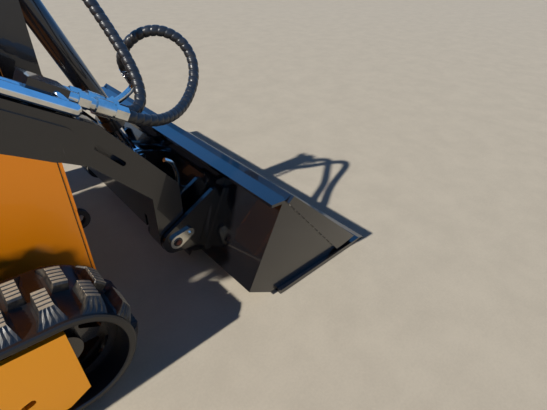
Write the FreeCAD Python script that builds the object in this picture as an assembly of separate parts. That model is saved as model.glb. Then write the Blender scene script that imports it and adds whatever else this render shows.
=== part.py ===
import FreeCAD, Part
import math
import os

# Compact stand-on skid steer loader on rubber tracks.
# Millimetres, +X forward to the bucket, +Y to the machine's left, +Z up, ground at z = 0.
# Stations x are measured from the cutting edge's tip, so they are negative behind it.

# Clearances
RUN_GAP = 0.3            # gap between parts that run or seat on each other
REACH = 60.0             # how far a cutting shape runs past what it cuts

# Lateral layout, distances from the middle plane
FRAME_HALF = 295.0
PANEL_THICK = 8.0
PLATE = 10.0
ARM_GAP = 5.0            # from the side panel to the arm
ARM_WIDE = 62.0
WEB_WIDE = 8.0           # from the arm to the leg
LEG_WIDE = 60.0
TRACK_GAP = 57.0         # from the side panel to the track
TRACK_WIDE = 180.0
ARM_INNER = FRAME_HALF + PANEL_THICK + ARM_GAP
LEG_INNER = ARM_INNER - WEB_WIDE - LEG_WIDE
TRACK_INNER = FRAME_HALF + PANEL_THICK + TRACK_GAP

# Bucket, side profile as (station x, height z)
BUCKET_WIDE = 1130.0
BUCKET_WALL = 8.0
BLADE_LONG = 400.0
BLADE_THICK = 14.0
BLADE_BEVEL = 34.0
BLADE_BEYOND = 6.0       # past each cheek
FLOOR_FRONT = (-60.0, BLADE_THICK)
FLOOR_BACK = (-427.0, BLADE_THICK)
HEEL = (-503.0, 68.0)
BACK_TOP = (-396.0, 308.0)
RAIL_REAR = (-431.0, 318.0)
RAIL_FOLD = (-379.0, 313.0)
RAIL_FRONT = (-366.0, 322.0)
CHEEK_TIP = (-56.0, 31.0)
CHEEK_NOSE = (-62.0, 24.0)
CHEEK_LOW = (-130.0, BLADE_THICK)
DOUBLER_TOP = (-383.0, 308.0)
DOUBLER_LOW = (-150.0, 30.0)
DOUBLER_FOOT = (-142.0, 20.0)
CUTTER_THICK = 10.0
CHEEK_HALF = BUCKET_WIDE / 2.0 - BLADE_BEYOND

# Quick attach, its heights measured up the bucket's back wall from the heel
ATTACH_PIVOT = (-574.0, 136.0)
ATTACH_PLATE = 12.0
ATTACH_LOW = -28.0
ATTACH_HIGH = 212.0
ATTACH_BEYOND = 30.0     # past the outer ears
CORNER_HIGH = 44.0       # the cut corners at the plate's foot
CORNER_WIDE = 60.0
LIP_TOP = 243.0
LIP_DEEP = 34.0
LIP_INSET = 15.0
LIP_SLOT = (-15.0, 45.0, 7.0, 16.0)    # y from and to, distances from the wall
LIP_NOTCH = 20.0         # lip left in the middle, where the tilt rod's eye passes
WINDOW = (90.0, 190.0, 40.0, 150.0)    # y from and to, heights up the wall
EAR_THICK = 12.0
EAR_GAP = 3.0
EAR_R = 40.0
EAR_ROOTS = (22.0, 188.0)
PIVOT_PIN_R = 16.0
FLAG_THICK = 8.0
FLAG_R = 22.0
FLAG_END_R = 14.0
FLAG_REACH = (40.0, 14.0)
FLAG_HOLE_R = 5.0
TILT_PIN = (-517.0, 262.0)
TILT_LUG_R = 24.0
TILT_LUG_ROOTS = (105.0, 196.0)
LATCH_ROD_R = 6.0
LATCH_SEAT = 150.0
LATCH_PATH = ((-494.0, 229.0, 206.0), (-489.0, 272.0, 208.0), (-503.0, 318.0, 212.0), (-527.0, 334.0, 213.0))
EAR_OUTER = LEG_INNER + LEG_WIDE + EAR_GAP
EAR_INNER = LEG_INNER - EAR_GAP - EAR_THICK
ATTACH_HALF = EAR_OUTER + EAR_THICK + ATTACH_BEYOND

# Loader arms
ARM_PIVOT = (-1650.0, 1024.0)
ARM_PIVOT_R = 79.0
ARM_PIN_R = 25.0
ARM_TOP_END = (-722.0, 538.0)
ARM_LOW_END = (-758.0, 462.0)
DOUBLER_THICK = 6.0
KNEE_TUBE = (-722.0, 470.0)
KNEE_TUBE_R = 38.0
LEG_END_R = 41.0
LEG_SLOT = ((-717.0, 464.0, 6.0), (-668.0, 408.0, 6.0))
LEG_SLOT_DEEP = 34.0
CROSS_PLATE_BACK = -612.0
CROSS_PLATE_THICK = 12.0
CROSS_PLATE_LOW = 152.0
CROSS_PLATE_HIGH = 300.0
EAR_NOTCH_WIDE = 30.0
EAR_NOTCH_HIGH = 44.0
LUG_NOTCH_LOW = 228.0

# Cylinders
EYE_R = 26.0
EYE_WIDE = 36.0
EYE_PIN_R = 12.5
FORK_GAP = 3.0           # each side of an eye
PISTON_GRIP = 45.0       # rod that stays in the barrel at full stroke
GLAND_LONG = 34.0
GLAND_STEP = 4.0
LIFT_BASE = (-1900.0, 450.0)
LIFT_EYE = (-1415.0, 751.0)
LIFT_BARREL_R = 28.0
LIFT_ROD_R = 15.0
LIFT_STROKE = 383.0
LIFT_SHOWING = 70.0      # from the gland to the rod's eye at rest
LIFT_RETRACT = 0.0
TILT_BASE = (-737.0, 800.0)
TILT_BARREL_R = 29.0
TILT_ROD_R = 13.0
TILT_STROKE = 237.0
TILT_SHOWING = 120.0
TILT_RETRACT = 48.0

# Work hydraulics, placed along and above the right arm's top face
TUBE_R = 13.0
TUBES = ((-(ARM_INNER + 46.0), 44.0), (-(ARM_INNER + 14.0), 125.3))   # y, front end
TUBE_BACK = 1000.0
BLOCK_BACK = 125.0
BLOCK_FRONT = 55.0
BLOCK_SIDES = (-(ARM_INNER + 32.5), -(ARM_INNER - 42.0))
BLOCK_LOW = 16.0
BLOCK_TOP = 42.0
COUPLER_SIDES = (-(ARM_INNER + 19.0), -(ARM_INNER - 29.0))
COUPLER_ABOVE = 29.0
PORT_R = 12.0
PORT_GAP = 1.0           # between a port and its hose, as the cylinder swings
PORT_SEAT = 400.0        # the rod end's port, from the barrel's base pin
HOSE_R = 13.5

# Hose routes as (station x, height z, side distance y)
HOSE_A = (
    (-650.3, 528.3, -327.0),
    (-611.9, 504.9, -327.0),
    (-556.0, 489.0, -309.0),
    (-500.0, 485.0, -277.0),
    (-449.0, 500.0, -243.0),
    (-408.0, 533.0, -212.0),
    (-391.0, 580.0, -184.0),
    (-406.0, 622.0, -156.0),
    (-444.0, 644.0, -129.0),
    (-486.0, 638.0, -103.0),
    (-517.0, 611.0, -80.0),
    (-530.0, 577.0, -58.0),
    (-522.0, 544.0, -40.0),
    (-509.0, 520.0, -30.0),
)
HOSE_B = (
    (-650.3, 528.3, -279.0),
    (-628.0, 514.8, -279.0),
    (-603.0, 510.0, -268.0),
    (-581.0, 521.0, -252.0),
    (-571.0, 546.0, -234.0),
    (-569.0, 579.0, -213.0),
    (-572.0, 613.0, -186.0),
    (-578.0, 647.0, -157.0),
    (-586.0, 681.0, -130.0),
    (-595.0, 714.0, -106.0),
    (-609.0, 743.0, -88.0),
    (-629.0, 763.0, -73.0),
    (-651.0, 768.3, -56.6),
    (-669.3, 760.7, -40.1),
)

# Running gear, circles as (x, z, radius of the belt's inner face)
IDLER = (-931.0, 150.0, 112.0)
REAR_ROLLER = (-1880.0, 95.0, 57.0)
SPROCKET = (-2010.0, 235.0, 105.0)
ROLLER_R = 45.0
ROLLER_STATIONS = (-1120.0, -1290.0, -1460.0, -1630.0)
WHEEL_WIDE = 60.0
ROLLER_WIDE = 80.0
RIM_DEEP = 20.0
HUB_R = 38.0
IDLER_WINDOWS = 5
IDLER_WEB = 18.0
WINDOW_R = 7.0
WINDOW_HALF = 21.0       # degrees each side of a window's middle
SPROCKET_SPOKES = 9
BEAM_WIDE = 84.0
BEAM_LOW = 150.0
BEAM_HIGH = 215.0
CARRIER = (-1560.0, -1200.0)
CARRIER_OVERLAP = 12.0
STAYS = (-1100.0, -1700.0)
COVER_INSET = 8.0
COVER_THICK = 10.0
COVER = ((-918.0, 244.0), (-914.0, 68.0), (-960.0, 44.0), (-1800.0, 44.0), (-1880.0, 130.0),
         (-1880.0, 290.0), (-1700.0, 290.0))
COVER_SLOT = ((-1022.0, 118.0, 7.0), (-1010.0, 121.0, 7.0))
BELT_THICK = 16.0
LUG_HIGH = 20.0
LUG_PITCH = 72.0
LUG_BASE = 33.0
LUG_TOP = 23.0
LUG_ROOT = 4.0           # how far a lug is sunk in the belt
LUG_ROWS = ((8.0, 96.0), (84.0, 176.0))   # each row's base, from the track's inner edge
LUG_TAPER = 8.0          # at each end of a lug's top

# Body
BODY_FRONT = -795.0
BODY_REAR = -2090.0
BODY_FLOOR = 120.0
TUB_HIGH = 330.0
TUB_REAR_HIGH = 640.0
TOWER_FRONT = -1480.0
TOWER_LOW = 140.0
PANEL_ROUND = 5.0
PANEL_PEAK = 850.0
PANEL_NOSE = 480.0
HOOD_THICK = 6.0
HOOD_LINE = ((-1700.0, 880.0), (-1560.0, 860.0), (-1250.0, 720.0), (BODY_FRONT, 470.0))
LOUVRES = 7
LOUVRE_PITCH = 34.0
LOUVRE_WIDE = 9.0
LOUVRE_START = 120.0     # down the slope from its upper bend
LOUVRE_SPANS = ((-215.0, -30.0), (30.0, 215.0))
ENGINE = (-1520.0, -1060.0, 190.0, 560.0)
ENGINE_HALF = FRAME_HALF - 105.0
FOOT_WIDE = 60.0
LEVER_STATION = -1900.0
LEVER_SIDES = (-120.0, -60.0, 60.0, 120.0)
LEVER_R = 6.0
KNOB_R = 17.0
LEVER_SEAT = 16.1538     # the stem's end, below the control top
LEVER_TOP = (-1915.0, 1220.0)
GRAB_HALF = 200.0
GRAB_R = 12.0
GRAB_FOOT = (-2030.0, 1070.0)
GRAB_TOP = (-2070.0, 1180.0)
CONSOLE_TOP = ((-1700.0, 1080.0), (-1790.0, 1160.0), (-2050.0, 1080.0), (-2090.0, 1010.0))
PAD_THICK = 40.0
PAD_HALF = 200.0
PAD_LOW = 700.0
PAD_HIGH = 960.0

# Tie-down plates at the body's corners
TIE_HOLE_R = 15.0
TIE_R = 28.0
TIE_THICK = 16.0
TIE_FRONT = (-766.0, 215.0)
TIE_FRONT_SIDE = 150.0
TIE_REAR = (-2112.0, 410.0)

# Standing platform
STEP_HINGE = (-2120.0, 190.0)
STEP_HINGE_R = 10.0
STEP_FRONT = -2140.0
STEP_HALF = 260.0
STEP_TOP = 215.0
STEP_LONG = 310.0
STEP_THICK = 6.0
STEP_SKIRT = 34.0
STEP_EAR = 170.0
BRACKET_INNER = STEP_EAR + EAR_THICK + 2.0
STEP_SLOTS = 5
STEP_NOTCH = 20.0        # cut in the tread round each hinge bracket
SLOT_ROWS = (-150.0, 0.0, 150.0)
SLOT_WIDE = 18.0
SLOT_LONG = 110.0

OVERALL_LENGTH = STEP_LONG - STEP_FRONT
MIDDLE = OVERALL_LENGTH / 2.0
SIDES = (("right", -1.0), ("left", 1.0))
ALONG_Y = FreeCAD.Vector(0, 1, 0)


def at(x, z, y=0.0):
    """A point from its station x, height z and side distance y."""
    return FreeCAD.Vector(MIDDLE + x, y, z)


def span(side, inner, wide):
    """The y range of a piece of that width, outside the inner face, on one side."""
    near, far = side * inner, side * (inner + wide)
    return min(near, far), max(near, far)


def prism(points, y0, y1):
    """A side profile of (x, z) corners, extruded from y0 to y1."""
    wire = Part.makePolygon([at(x, z, y0) for x, z in points] + [at(*points[0], y0)])
    return Part.Face(wire).extrude(FreeCAD.Vector(0, y1 - y0, 0))


def disc(x, z, radius, y0, y1):
    """A round bar along Y."""
    return Part.makeCylinder(radius, y1 - y0, at(x, z, y0), ALONG_Y)


def block(x0, x1, y0, y1, z0, z1):
    return Part.makeBox(x1 - x0, y1 - y0, z1 - z0, at(x0, z0, y0))


def bar(start, end, radius):
    """A round bar between two vectors."""
    return Part.makeCylinder(radius, (end - start).Length, start, end - start)


def fuse(pieces):
    return pieces[0].multiFuse(pieces[1:]).removeSplitter() if len(pieces) > 1 else pieces[0]


def mirrored(shape):
    return shape.mirror(FreeCAD.Vector(0, 0, 0), ALONG_Y)


# Outlines round circles
def belt_path(circles):
    """Outer tangent lines and arcs round circles (x, z, radius), listed counter-clockwise."""
    tangents = []
    for one, two in zip(circles, circles[1:] + circles[:1]):
        dx, dz = two[0] - one[0], two[1] - one[1]
        length = math.hypot(dx, dz)
        ux, uz = dx / length, dz / length
        k = (one[2] - two[2]) / length
        side = math.sqrt(1.0 - k * k)
        nx, nz = uz * side + ux * k, -ux * side + uz * k
        tangents.append((math.atan2(nz, nx), one, two))
    path = []
    for (angle, one, two), (next_angle, _, _) in zip(tangents, tangents[1:] + tangents[:1]):
        path.append(("line", one, two, angle, angle))
        turn = (next_angle - angle) % (2.0 * math.pi)
        path.append(("arc", two, two, angle, angle + turn))
    return path


def on_circle(circle, angle, offset=0.0):
    radius = circle[2] + offset
    return circle[0] + radius * math.cos(angle), circle[1] + radius * math.sin(angle)


def piece_length(piece, offset):
    kind, one, two, a0, a1 = piece
    if kind == "arc":
        return (one[2] + offset) * (a1 - a0)
    start, end = on_circle(one, a0, offset), on_circle(two, a0, offset)
    return math.hypot(end[0] - start[0], end[1] - start[1])


def path_point(path, distance, offset, lift):
    """The (x, z) at a distance along the path's offset line, raised above it by lift."""
    for kind, one, two, a0, a1 in path:
        length = piece_length((kind, one, two, a0, a1), offset)
        if distance <= length:
            share = distance / length if length else 0.0
            if kind == "arc":
                return on_circle(one, a0 + (a1 - a0) * share, offset + lift)
            start, end = on_circle(one, a0, offset + lift), on_circle(two, a0, offset + lift)
            return start[0] + (end[0] - start[0]) * share, start[1] + (end[1] - start[1]) * share
        distance -= length
    return path_point(path, distance, offset, lift)


def belt_wire(circles, offset, y):
    """The closed wire round the circles at an offset."""
    edges = []
    for kind, one, two, a0, a1 in belt_path(circles):
        start = at(*on_circle(one, a0, offset), y)
        if kind == "line":
            edges.append(Part.LineSegment(start, at(*on_circle(two, a0, offset), y)).toShape())
        elif a1 - a0 > 1e-6:
            middle = at(*on_circle(one, (a0 + a1) / 2.0, offset), y)
            end = at(*on_circle(one, a1, offset), y)
            edges.append(Part.Arc(start, middle, end).toShape())
    return Part.Wire(Part.__sortEdges__(edges))


def link(circles, y0, y1):
    """A plate or bar whose outline wraps round circles (x, z, radius)."""
    return Part.Face(belt_wire(circles, 0.0, y0)).extrude(FreeCAD.Vector(0, y1 - y0, 0))


def offset_line(points, thick):
    """An open line of (x, z) points moved to its left by a thickness, with mitred corners."""
    moved = []
    for i, (x, z) in enumerate(points):
        normals = []
        for a, b in ((i - 1, i), (i, i + 1)):
            if 0 <= a and b < len(points):
                dx, dz = points[b][0] - points[a][0], points[b][1] - points[a][1]
                length = math.hypot(dx, dz)
                normals.append((-dz / length, dx / length))
        nx = sum(n[0] for n in normals)
        nz = sum(n[1] for n in normals)
        scale = thick * len(normals) / (nx * nx + nz * nz)
        moved.append((x + nx * scale, z + nz * scale))
    return moved


def bent_plate(points, thick, y0, y1):
    """A plate bent along a line of points, its thickness to the left of the line."""
    return prism(points + offset_line(points, thick)[::-1], y0, y1)


# Bucket
def wall_point(along, out=0.0):
    """A point up the bucket's back wall from the heel, and out behind it."""
    dx, dz = BACK_TOP[0] - HEEL[0], BACK_TOP[1] - HEEL[1]
    length = math.hypot(dx, dz)
    ux, uz = dx / length, dz / length
    return HEEL[0] + ux * along - uz * out, HEEL[1] + uz * along + ux * out


def side_cutter(side):
    """The doubler plate welded along a cheek's front edge, wider at its foot."""
    strip = [DOUBLER_TOP, RAIL_FRONT, CHEEK_TIP, DOUBLER_FOOT, DOUBLER_LOW]
    return prism(strip[::-1], *span(side, CHEEK_HALF - CUTTER_THICK, CUTTER_THICK))


def bucket():
    """The folded sheet with its hooked rail, and its cheeks with their doublers."""
    half = CHEEK_HALF - CUTTER_THICK
    sheet = bent_plate([FLOOR_FRONT, FLOOR_BACK, HEEL, BACK_TOP], -BUCKET_WALL, -half, half)
    rail = bent_plate([RAIL_REAR, RAIL_FOLD, RAIL_FRONT], -BUCKET_WALL, -half, half)
    cheek = [CHEEK_LOW, FLOOR_BACK, HEEL, BACK_TOP, RAIL_FRONT, CHEEK_TIP, CHEEK_NOSE]
    sides = [prism(cheek, *span(s, half - BUCKET_WALL, BUCKET_WALL)) for _, s in SIDES]
    return fuse([sheet, rail] + sides + [side_cutter(s) for _, s in SIDES])


def cutting_edge():
    """The thick bevelled blade under the floor, a little wider than the cheeks."""
    half = BUCKET_WIDE / 2.0
    profile = [(0.0, 0.0), (-BLADE_LONG, 0.0), (-BLADE_LONG, BLADE_THICK), (-BLADE_BEVEL, BLADE_THICK)]
    return prism(profile, -half, half)


# Quick attach
def wall_plate(outline, out, thick):
    """A plate parallel to the bucket's back wall, its corners as (y, height up the wall)."""
    near = [at(*wall_point(along, out), y) for y, along in outline]
    move = at(*wall_point(0.0, out + thick)) - at(*wall_point(0.0, out))
    return Part.Face(Part.makePolygon(near + near[:1])).extrude(move)


def attach_ear(side, inner):
    """A lug from the attach plate back to its pivot."""
    x, z = ATTACH_PIVOT
    roots = [(*wall_point(along, ATTACH_PLATE + 3.0), 8.0) for along in EAR_ROOTS]
    return link([(x, z, EAR_R)] + roots, *span(side, inner, EAR_THICK))


def tilt_lug(side):
    """One of the two lugs either side of the tilt rod's eye."""
    roots = [(*wall_point(along, ATTACH_PLATE + 3.0), 8.0) for along in TILT_LUG_ROOTS]
    return link([(*TILT_PIN, TILT_LUG_R)] + roots, *span(side, EYE_WIDE / 2.0 + FORK_GAP, EAR_THICK))


def attach_lip():
    """The hook along the plate's top, flat above, that lies under the bucket's rail."""
    half = ATTACH_HALF - LIP_INSET
    root = wall_point(LIP_TOP, RUN_GAP)
    nose = (root[0] - LIP_DEEP, root[1] - 1.0)
    profile = [wall_point(ATTACH_HIGH - 16.0, RUN_GAP), root, nose, (nose[0] - 2.0, nose[1] - 9.0),
               wall_point(ATTACH_HIGH + 2.0, ATTACH_PLATE), wall_point(ATTACH_HIGH - 16.0, ATTACH_PLATE)]
    low, high = nose[1] - REACH, root[1] + 1.0
    y0, y1, near, far = LIP_SLOT
    slot = block(root[0] - far, root[0] - near, y0, y1, low, high)
    eye_half = EYE_WIDE / 2.0 + 2.0 * FORK_GAP
    notch = block(nose[0] - REACH, root[0] - LIP_NOTCH, -eye_half, eye_half, low, high)
    return prism(profile[::-1], -half, half).cut(slot).cut(notch)


def attach_plate():
    """The plate that hooks under the bucket's rail, with its pivot ears and tilt lugs."""
    half, foot_half = ATTACH_HALF, ATTACH_HALF - CORNER_WIDE
    corner = ATTACH_LOW + CORNER_HIGH
    face = wall_plate([(-half, corner), (-foot_half, ATTACH_LOW), (foot_half, ATTACH_LOW), (half, corner),
                       (half, ATTACH_HIGH), (-half, ATTACH_HIGH)], RUN_GAP, ATTACH_PLATE - RUN_GAP)
    foot = prism([wall_point(ATTACH_LOW, RUN_GAP), wall_point(ATTACH_LOW, ATTACH_PLATE),
                  wall_point(ATTACH_LOW - 16.0, 4.0)], -foot_half, foot_half)
    y0, y1, low, high = WINDOW
    window = wall_plate([(y0, low), (y1, low), (y1, high), (y0, high)], -REACH, 2.0 * REACH)
    shape = fuse([face, attach_lip(), foot]).cut(window).cut(mirrored(window))
    for _, s in SIDES:
        shape = fuse([shape, attach_ear(s, EAR_OUTER), attach_ear(s, EAR_INNER), tilt_lug(s)])
    shape = shape.cut(disc(*ATTACH_PIVOT, PIVOT_PIN_R + RUN_GAP, -half - REACH, half + REACH))
    return shape.cut(disc(*TILT_PIN, EYE_PIN_R + RUN_GAP, -REACH, REACH))


def attach_pins():
    """Each leg's pivot pin with the drilled flag that a bolt holds to the outer ear."""
    x, z = ATTACH_PIVOT
    outer = EAR_OUTER + EAR_THICK
    pins = []
    for _, s in SIDES:
        pin = disc(x, z, PIVOT_PIN_R, *span(s, EAR_INNER - 4.0, outer + 8.0 - EAR_INNER))
        end = (x + FLAG_REACH[0], z + FLAG_REACH[1])
        flag = link([(x, z, FLAG_R), (*end, FLAG_END_R)], *span(s, outer, FLAG_THICK))
        flag = flag.cut(disc(*end, FLAG_HOLE_R, *span(s, outer - 1.0, FLAG_THICK + 2.0)))
        pins.append(fuse([pin, flag]))
    return Part.makeCompound(pins)


def latch_handles():
    """Bent round rods that turn the lock wedges on the attach plate."""
    rods = []
    for _, s in SIDES:
        seat = at(*wall_point(LATCH_SEAT, ATTACH_PLATE), s * LATCH_PATH[0][2])
        rods.append(tube_along([seat] + [at(x, z, s * y) for x, z, y in LATCH_PATH], LATCH_ROD_R)[0])
    return Part.makeCompound(rods)


# Loader arms
def arm_profile():
    """The arm's tapered side outline, square at its pivot."""
    px, pz = ARM_PIVOT
    return [(px, pz + ARM_PIVOT_R), ARM_TOP_END, ARM_LOW_END, (px, pz - ARM_PIVOT_R)]


def arm_point(along, above):
    """A point along the arm's top face, measured back from its front end, and above it."""
    ux, uz, _ = direction(ARM_TOP_END, (ARM_PIVOT[0], ARM_PIVOT[1] + ARM_PIVOT_R))
    return ARM_TOP_END[0] + ux * along + uz * above, ARM_TOP_END[1] + uz * along - ux * above


def lift_fork(side):
    """The plates under an arm, either side of the lift rod's eye."""
    x, z = LIFT_EYE
    plates = []
    for inner in (ARM_INNER, ARM_INNER + ARM_WIDE - PLATE):
        y0, y1 = span(side, inner, PLATE)
        plates.append(link([(x, z, 30.0), (x + 60.0, z + 46.0, 22.0), (x - 62.0, z + 120.0, 20.0)], y0, y1))
    return plates


def upper_arm(side):
    """A box arm outside the body, from the tower pivot to the knee, on which the leg is welded."""
    px, pz = ARM_PIVOT
    y0, y1 = span(side, ARM_INNER, ARM_WIDE)
    outer = span(side, ARM_INNER + ARM_WIDE, DOUBLER_THICK)
    hub = disc(px, pz, ARM_PIVOT_R, y0, y1)
    doubler = link([(px, pz, 62.0), (-1420.0, 895.0, 40.0)], *outer)
    knee = link([(-1040.0, 668.0, 40.0), (-800.0, 524.0, 34.0)], *outer)
    web = prism([(-782.0, 560.0), (-722.0, 536.0), (-756.0, 464.0), (-782.0, 466.0)],
                *span(side, LEG_INNER + LEG_WIDE, ARM_INNER - LEG_INNER - LEG_WIDE))
    shape = fuse([prism(arm_profile(), y0, y1), hub, doubler, knee, web] + lift_fork(side))
    return shape.cut(disc(px, pz, ARM_PIN_R + RUN_GAP, *span(side, ARM_INNER - 1.0, ARM_WIDE + REACH)))


def lower_arm(side):
    """The leg from the knee down to the attach pivot, inboard of the box arm."""
    x, z = ATTACH_PIVOT
    y0, y1 = span(side, LEG_INNER, LEG_WIDE)
    profile = [(-785.0, 562.0), (-700.0, 508.0), (-537.0, 304.0), (x + LEG_END_R, z),
               (x - LEG_END_R, z), (-615.0, 286.0), (-740.0, 425.0), (-785.0, 450.0)]
    shape = fuse([prism(profile, y0, y1), disc(x, z, LEG_END_R, y0, y1)])
    slot = link(list(LEG_SLOT), *span(side, LEG_INNER + LEG_WIDE - LEG_SLOT_DEEP, LEG_SLOT_DEEP + 1.0))
    return shape.cut(slot).cut(disc(x, z, PIVOT_PIN_R + RUN_GAP, y0 - 1.0, y1 + 1.0))


def knee_tube():
    return disc(*KNEE_TUBE, KNEE_TUBE_R, -LEG_INNER, LEG_INNER)


def cross_plate():
    """The plate between the legs, notched for the ears and for the tilt lugs."""
    back, front = CROSS_PLATE_BACK, CROSS_PLATE_BACK + CROSS_PLATE_THICK
    plate = block(back, front, -LEG_INNER, LEG_INNER, CROSS_PLATE_LOW, CROSS_PLATE_HIGH)
    low = CROSS_PLATE_LOW - 1.0
    notches = [block(back - 1.0, front + 1.0, -REACH, REACH, LUG_NOTCH_LOW, CROSS_PLATE_HIGH + 1.0)]
    for _, s in SIDES:
        y0, y1 = span(s, EAR_INNER - 7.0, EAR_NOTCH_WIDE)
        notches.append(block(back - 1.0, front + 1.0, y0, y1, low, low + EAR_NOTCH_HIGH))
    return plate.cut(fuse(notches))


def tilt_bracket():
    """Two tall plates on the knee tube with the tilt cylinder's upper pin."""
    x, z = TILT_BASE
    profile = [(x + 15.0, z), (x + 15.0, 560.0), (KNEE_TUBE[0] + 30.0, 470.0), (KNEE_TUBE[0] - 34.0, 470.0),
               (-800.0, 560.0), (-800.0, 730.0), (x - 34.0, z)]
    inner = TILT_BARREL_R + FORK_GAP
    plates = []
    for _, s in SIDES:
        y0, y1 = span(s, inner, PLATE)
        plate = fuse([prism(profile, y0, y1), disc(x - 8.0, z, 26.0, y0, y1)])
        plates.append(plate.cut(disc(*KNEE_TUBE, KNEE_TUBE_R, y0 - 1.0, y1 + 1.0)))
    reach = inner + PLATE + 6.0
    return fuse(plates + [disc(x, z, EYE_PIN_R, -reach, reach)])


def arm_pins():
    """The pins of both arm pivots, with their outer caps."""
    x, z = ARM_PIVOT
    inner = FRAME_HALF - 45.0
    outer = ARM_INNER + ARM_WIDE + DOUBLER_THICK + RUN_GAP
    pins = []
    for _, s in SIDES:
        pin = disc(x, z, ARM_PIN_R, *span(s, inner, outer + 4.0 - inner))
        pins.append(fuse([pin, disc(x, z, ARM_PIN_R + 12.0, *span(s, outer, 8.0))]))
    return Part.makeCompound(pins)


# Cylinders
def direction(start, end):
    """The unit vector from start to end and their distance."""
    length = math.hypot(end[0] - start[0], end[1] - start[1])
    return (end[0] - start[0]) / length, (end[1] - start[1]) / length, length


def on_line(start, end, distance, y):
    """A point at a distance from start towards end."""
    ux, uz, _ = direction(start, end)
    return at(start[0] + ux * distance, start[1] + uz * distance, y)


def gland_distance(start, end, showing):
    return direction(start, end)[2] - showing


def barrel(start, end, radius, rod_r, showing, stroke, retract, y):
    """A cylinder barrel with its base eye at start, pointing to end."""
    mouth = gland_distance(start, end, showing)
    bottom = mouth - stroke - PISTON_GRIP - retract - FORK_GAP
    tube = bar(on_line(start, end, EYE_R / 2.0, y), on_line(start, end, mouth, y), radius)
    lip = on_line(start, end, mouth - GLAND_LONG, y)
    gland = bar(lip, on_line(start, end, mouth, y), radius + GLAND_STEP)
    eye = disc(*start, EYE_R, y - EYE_WIDE / 2.0, y + EYE_WIDE / 2.0)
    bore = bar(on_line(start, end, bottom, y), on_line(start, end, mouth + 1.0, y), rod_r + RUN_GAP)
    for s in (-1.0, 1.0):
        tube = tube.cut(disc(*start, EYE_R + FORK_GAP, *span(s, EYE_WIDE / 2.0 + s * y, REACH)))
    hole = disc(*start, EYE_PIN_R + RUN_GAP, y - REACH, y + REACH)
    return fuse([tube, gland, eye]).cut(bore).cut(hole)


def rod(start, end, rod_r, showing, stroke, y):
    """A rod from inside the barrel to its eye, with the pin in the eye."""
    inside = gland_distance(start, end, showing) - stroke - PISTON_GRIP
    stem = bar(on_line(start, end, inside, y), at(*end, y), rod_r)
    eye = disc(*end, EYE_R, y - EYE_WIDE / 2.0, y + EYE_WIDE / 2.0)
    pin_half = EYE_WIDE / 2.0 + FORK_GAP - 1.0
    return fuse([stem, eye, disc(*end, EYE_PIN_R, y - pin_half, y + pin_half)])


# Hydraulics
def arm_vector(along, above, y):
    return at(*arm_point(along, above), y)


def work_tubes():
    """Steel tubes that lie along the right arm, the outer one closed by a round end."""
    above = TUBE_R + RUN_GAP
    (y_outer, front_outer), (y_inner, front_inner) = TUBES
    end = arm_vector(front_outer, above, y_outer)
    outer = fuse([bar(arm_vector(TUBE_BACK, above, y_outer), end, TUBE_R), Part.makeSphere(TUBE_R, end)])
    inner = bar(arm_vector(TUBE_BACK, above, y_inner), arm_vector(front_inner, above, y_inner), TUBE_R)
    return Part.makeCompound([outer, inner])


def coupler_block():
    """The manifold on the arm that carries the couplers, with its foot."""
    shapes = []
    for back, front, low, high, y0, y1 in (
            (BLOCK_BACK, BLOCK_FRONT, BLOCK_LOW, BLOCK_TOP, *BLOCK_SIDES),
            (BLOCK_BACK - 12.0, BLOCK_FRONT + 12.0, RUN_GAP, BLOCK_LOW + 1.0,
             BLOCK_SIDES[0] + 4.0, -ARM_INNER - 4.0)):
        corners = [(back, low), (front, low), (front, high), (back, high)]
        shapes.append(prism([arm_point(*corner) for corner in corners], y0, y1))
    return fuse(shapes)


def hexagon(start, end, radius):
    """A six-sided nut between two vectors."""
    axis = (end - start).normalize()
    across = axis.cross(ALONG_Y)
    corners = []
    for i in range(7):
        angle = math.pi * i / 3.0
        corners.append(start + across * (radius * math.cos(angle)) + ALONG_Y * (radius * math.sin(angle)))
    return Part.Face(Part.makePolygon(corners)).extrude(end - start)


def couplers():
    """Each coupler is a chain of turned steps, as (from, to, radius, shape)."""
    steps = ((BLOCK_FRONT, 36.0, 11.0, bar), (36.0, 14.0, 15.0, hexagon), (14.0, 2.0, 13.0, bar),
             (2.0, -32.0, 17.5, bar), (-32.0, -38.0, 14.0, bar), (-38.0, -66.0, 16.5, hexagon))
    chains = []
    for y in COUPLER_SIDES:
        pieces = [shape(arm_vector(a, COUPLER_ABOVE, y), arm_vector(b, COUPLER_ABOVE, y), radius)
                  for a, b, radius, shape in steps]
        chains.append(fuse(pieces))
    return Part.makeCompound(chains)


def tube_path(points):
    """Straight runs joined by tangent arcs, with the arcs' radii."""
    edges, radii = [], []
    start = points[0]
    for before, corner, after in zip(points, points[1:], points[2:]):
        one, two = (before - corner), (after - corner)
        half = (math.pi - one.getAngle(two)) / 2.0
        trim = 0.45 * min(one.Length, two.Length)
        radii.append(trim / math.tan(half))
        one, two = one.normalize(), two.normalize()
        first, last = corner + one * trim, corner + two * trim
        inward = (one + two).normalize()
        centre = corner + inward * (trim / math.sin(half))
        middle = centre - inward * radii[-1]
        edges.append(Part.LineSegment(start, first).toShape())
        edges.append(Part.Arc(first, middle, last).toShape())
        start = last
    edges.append(Part.LineSegment(start, points[-1]).toShape())
    return Part.Wire(edges), radii


def tube_along(points, radius):
    path, radii = tube_path(points)
    profile = Part.Wire(Part.makeCircle(radius, points[0], points[1] - points[0]))
    return path.makePipeShell([profile], True, False), radii, path.Length


def routed(points, side):
    """A hose's points, spread sideways so that it starts at its coupler."""
    return [at(x, z, y * side / points[0][2]) for x, z, y in points]


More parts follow.
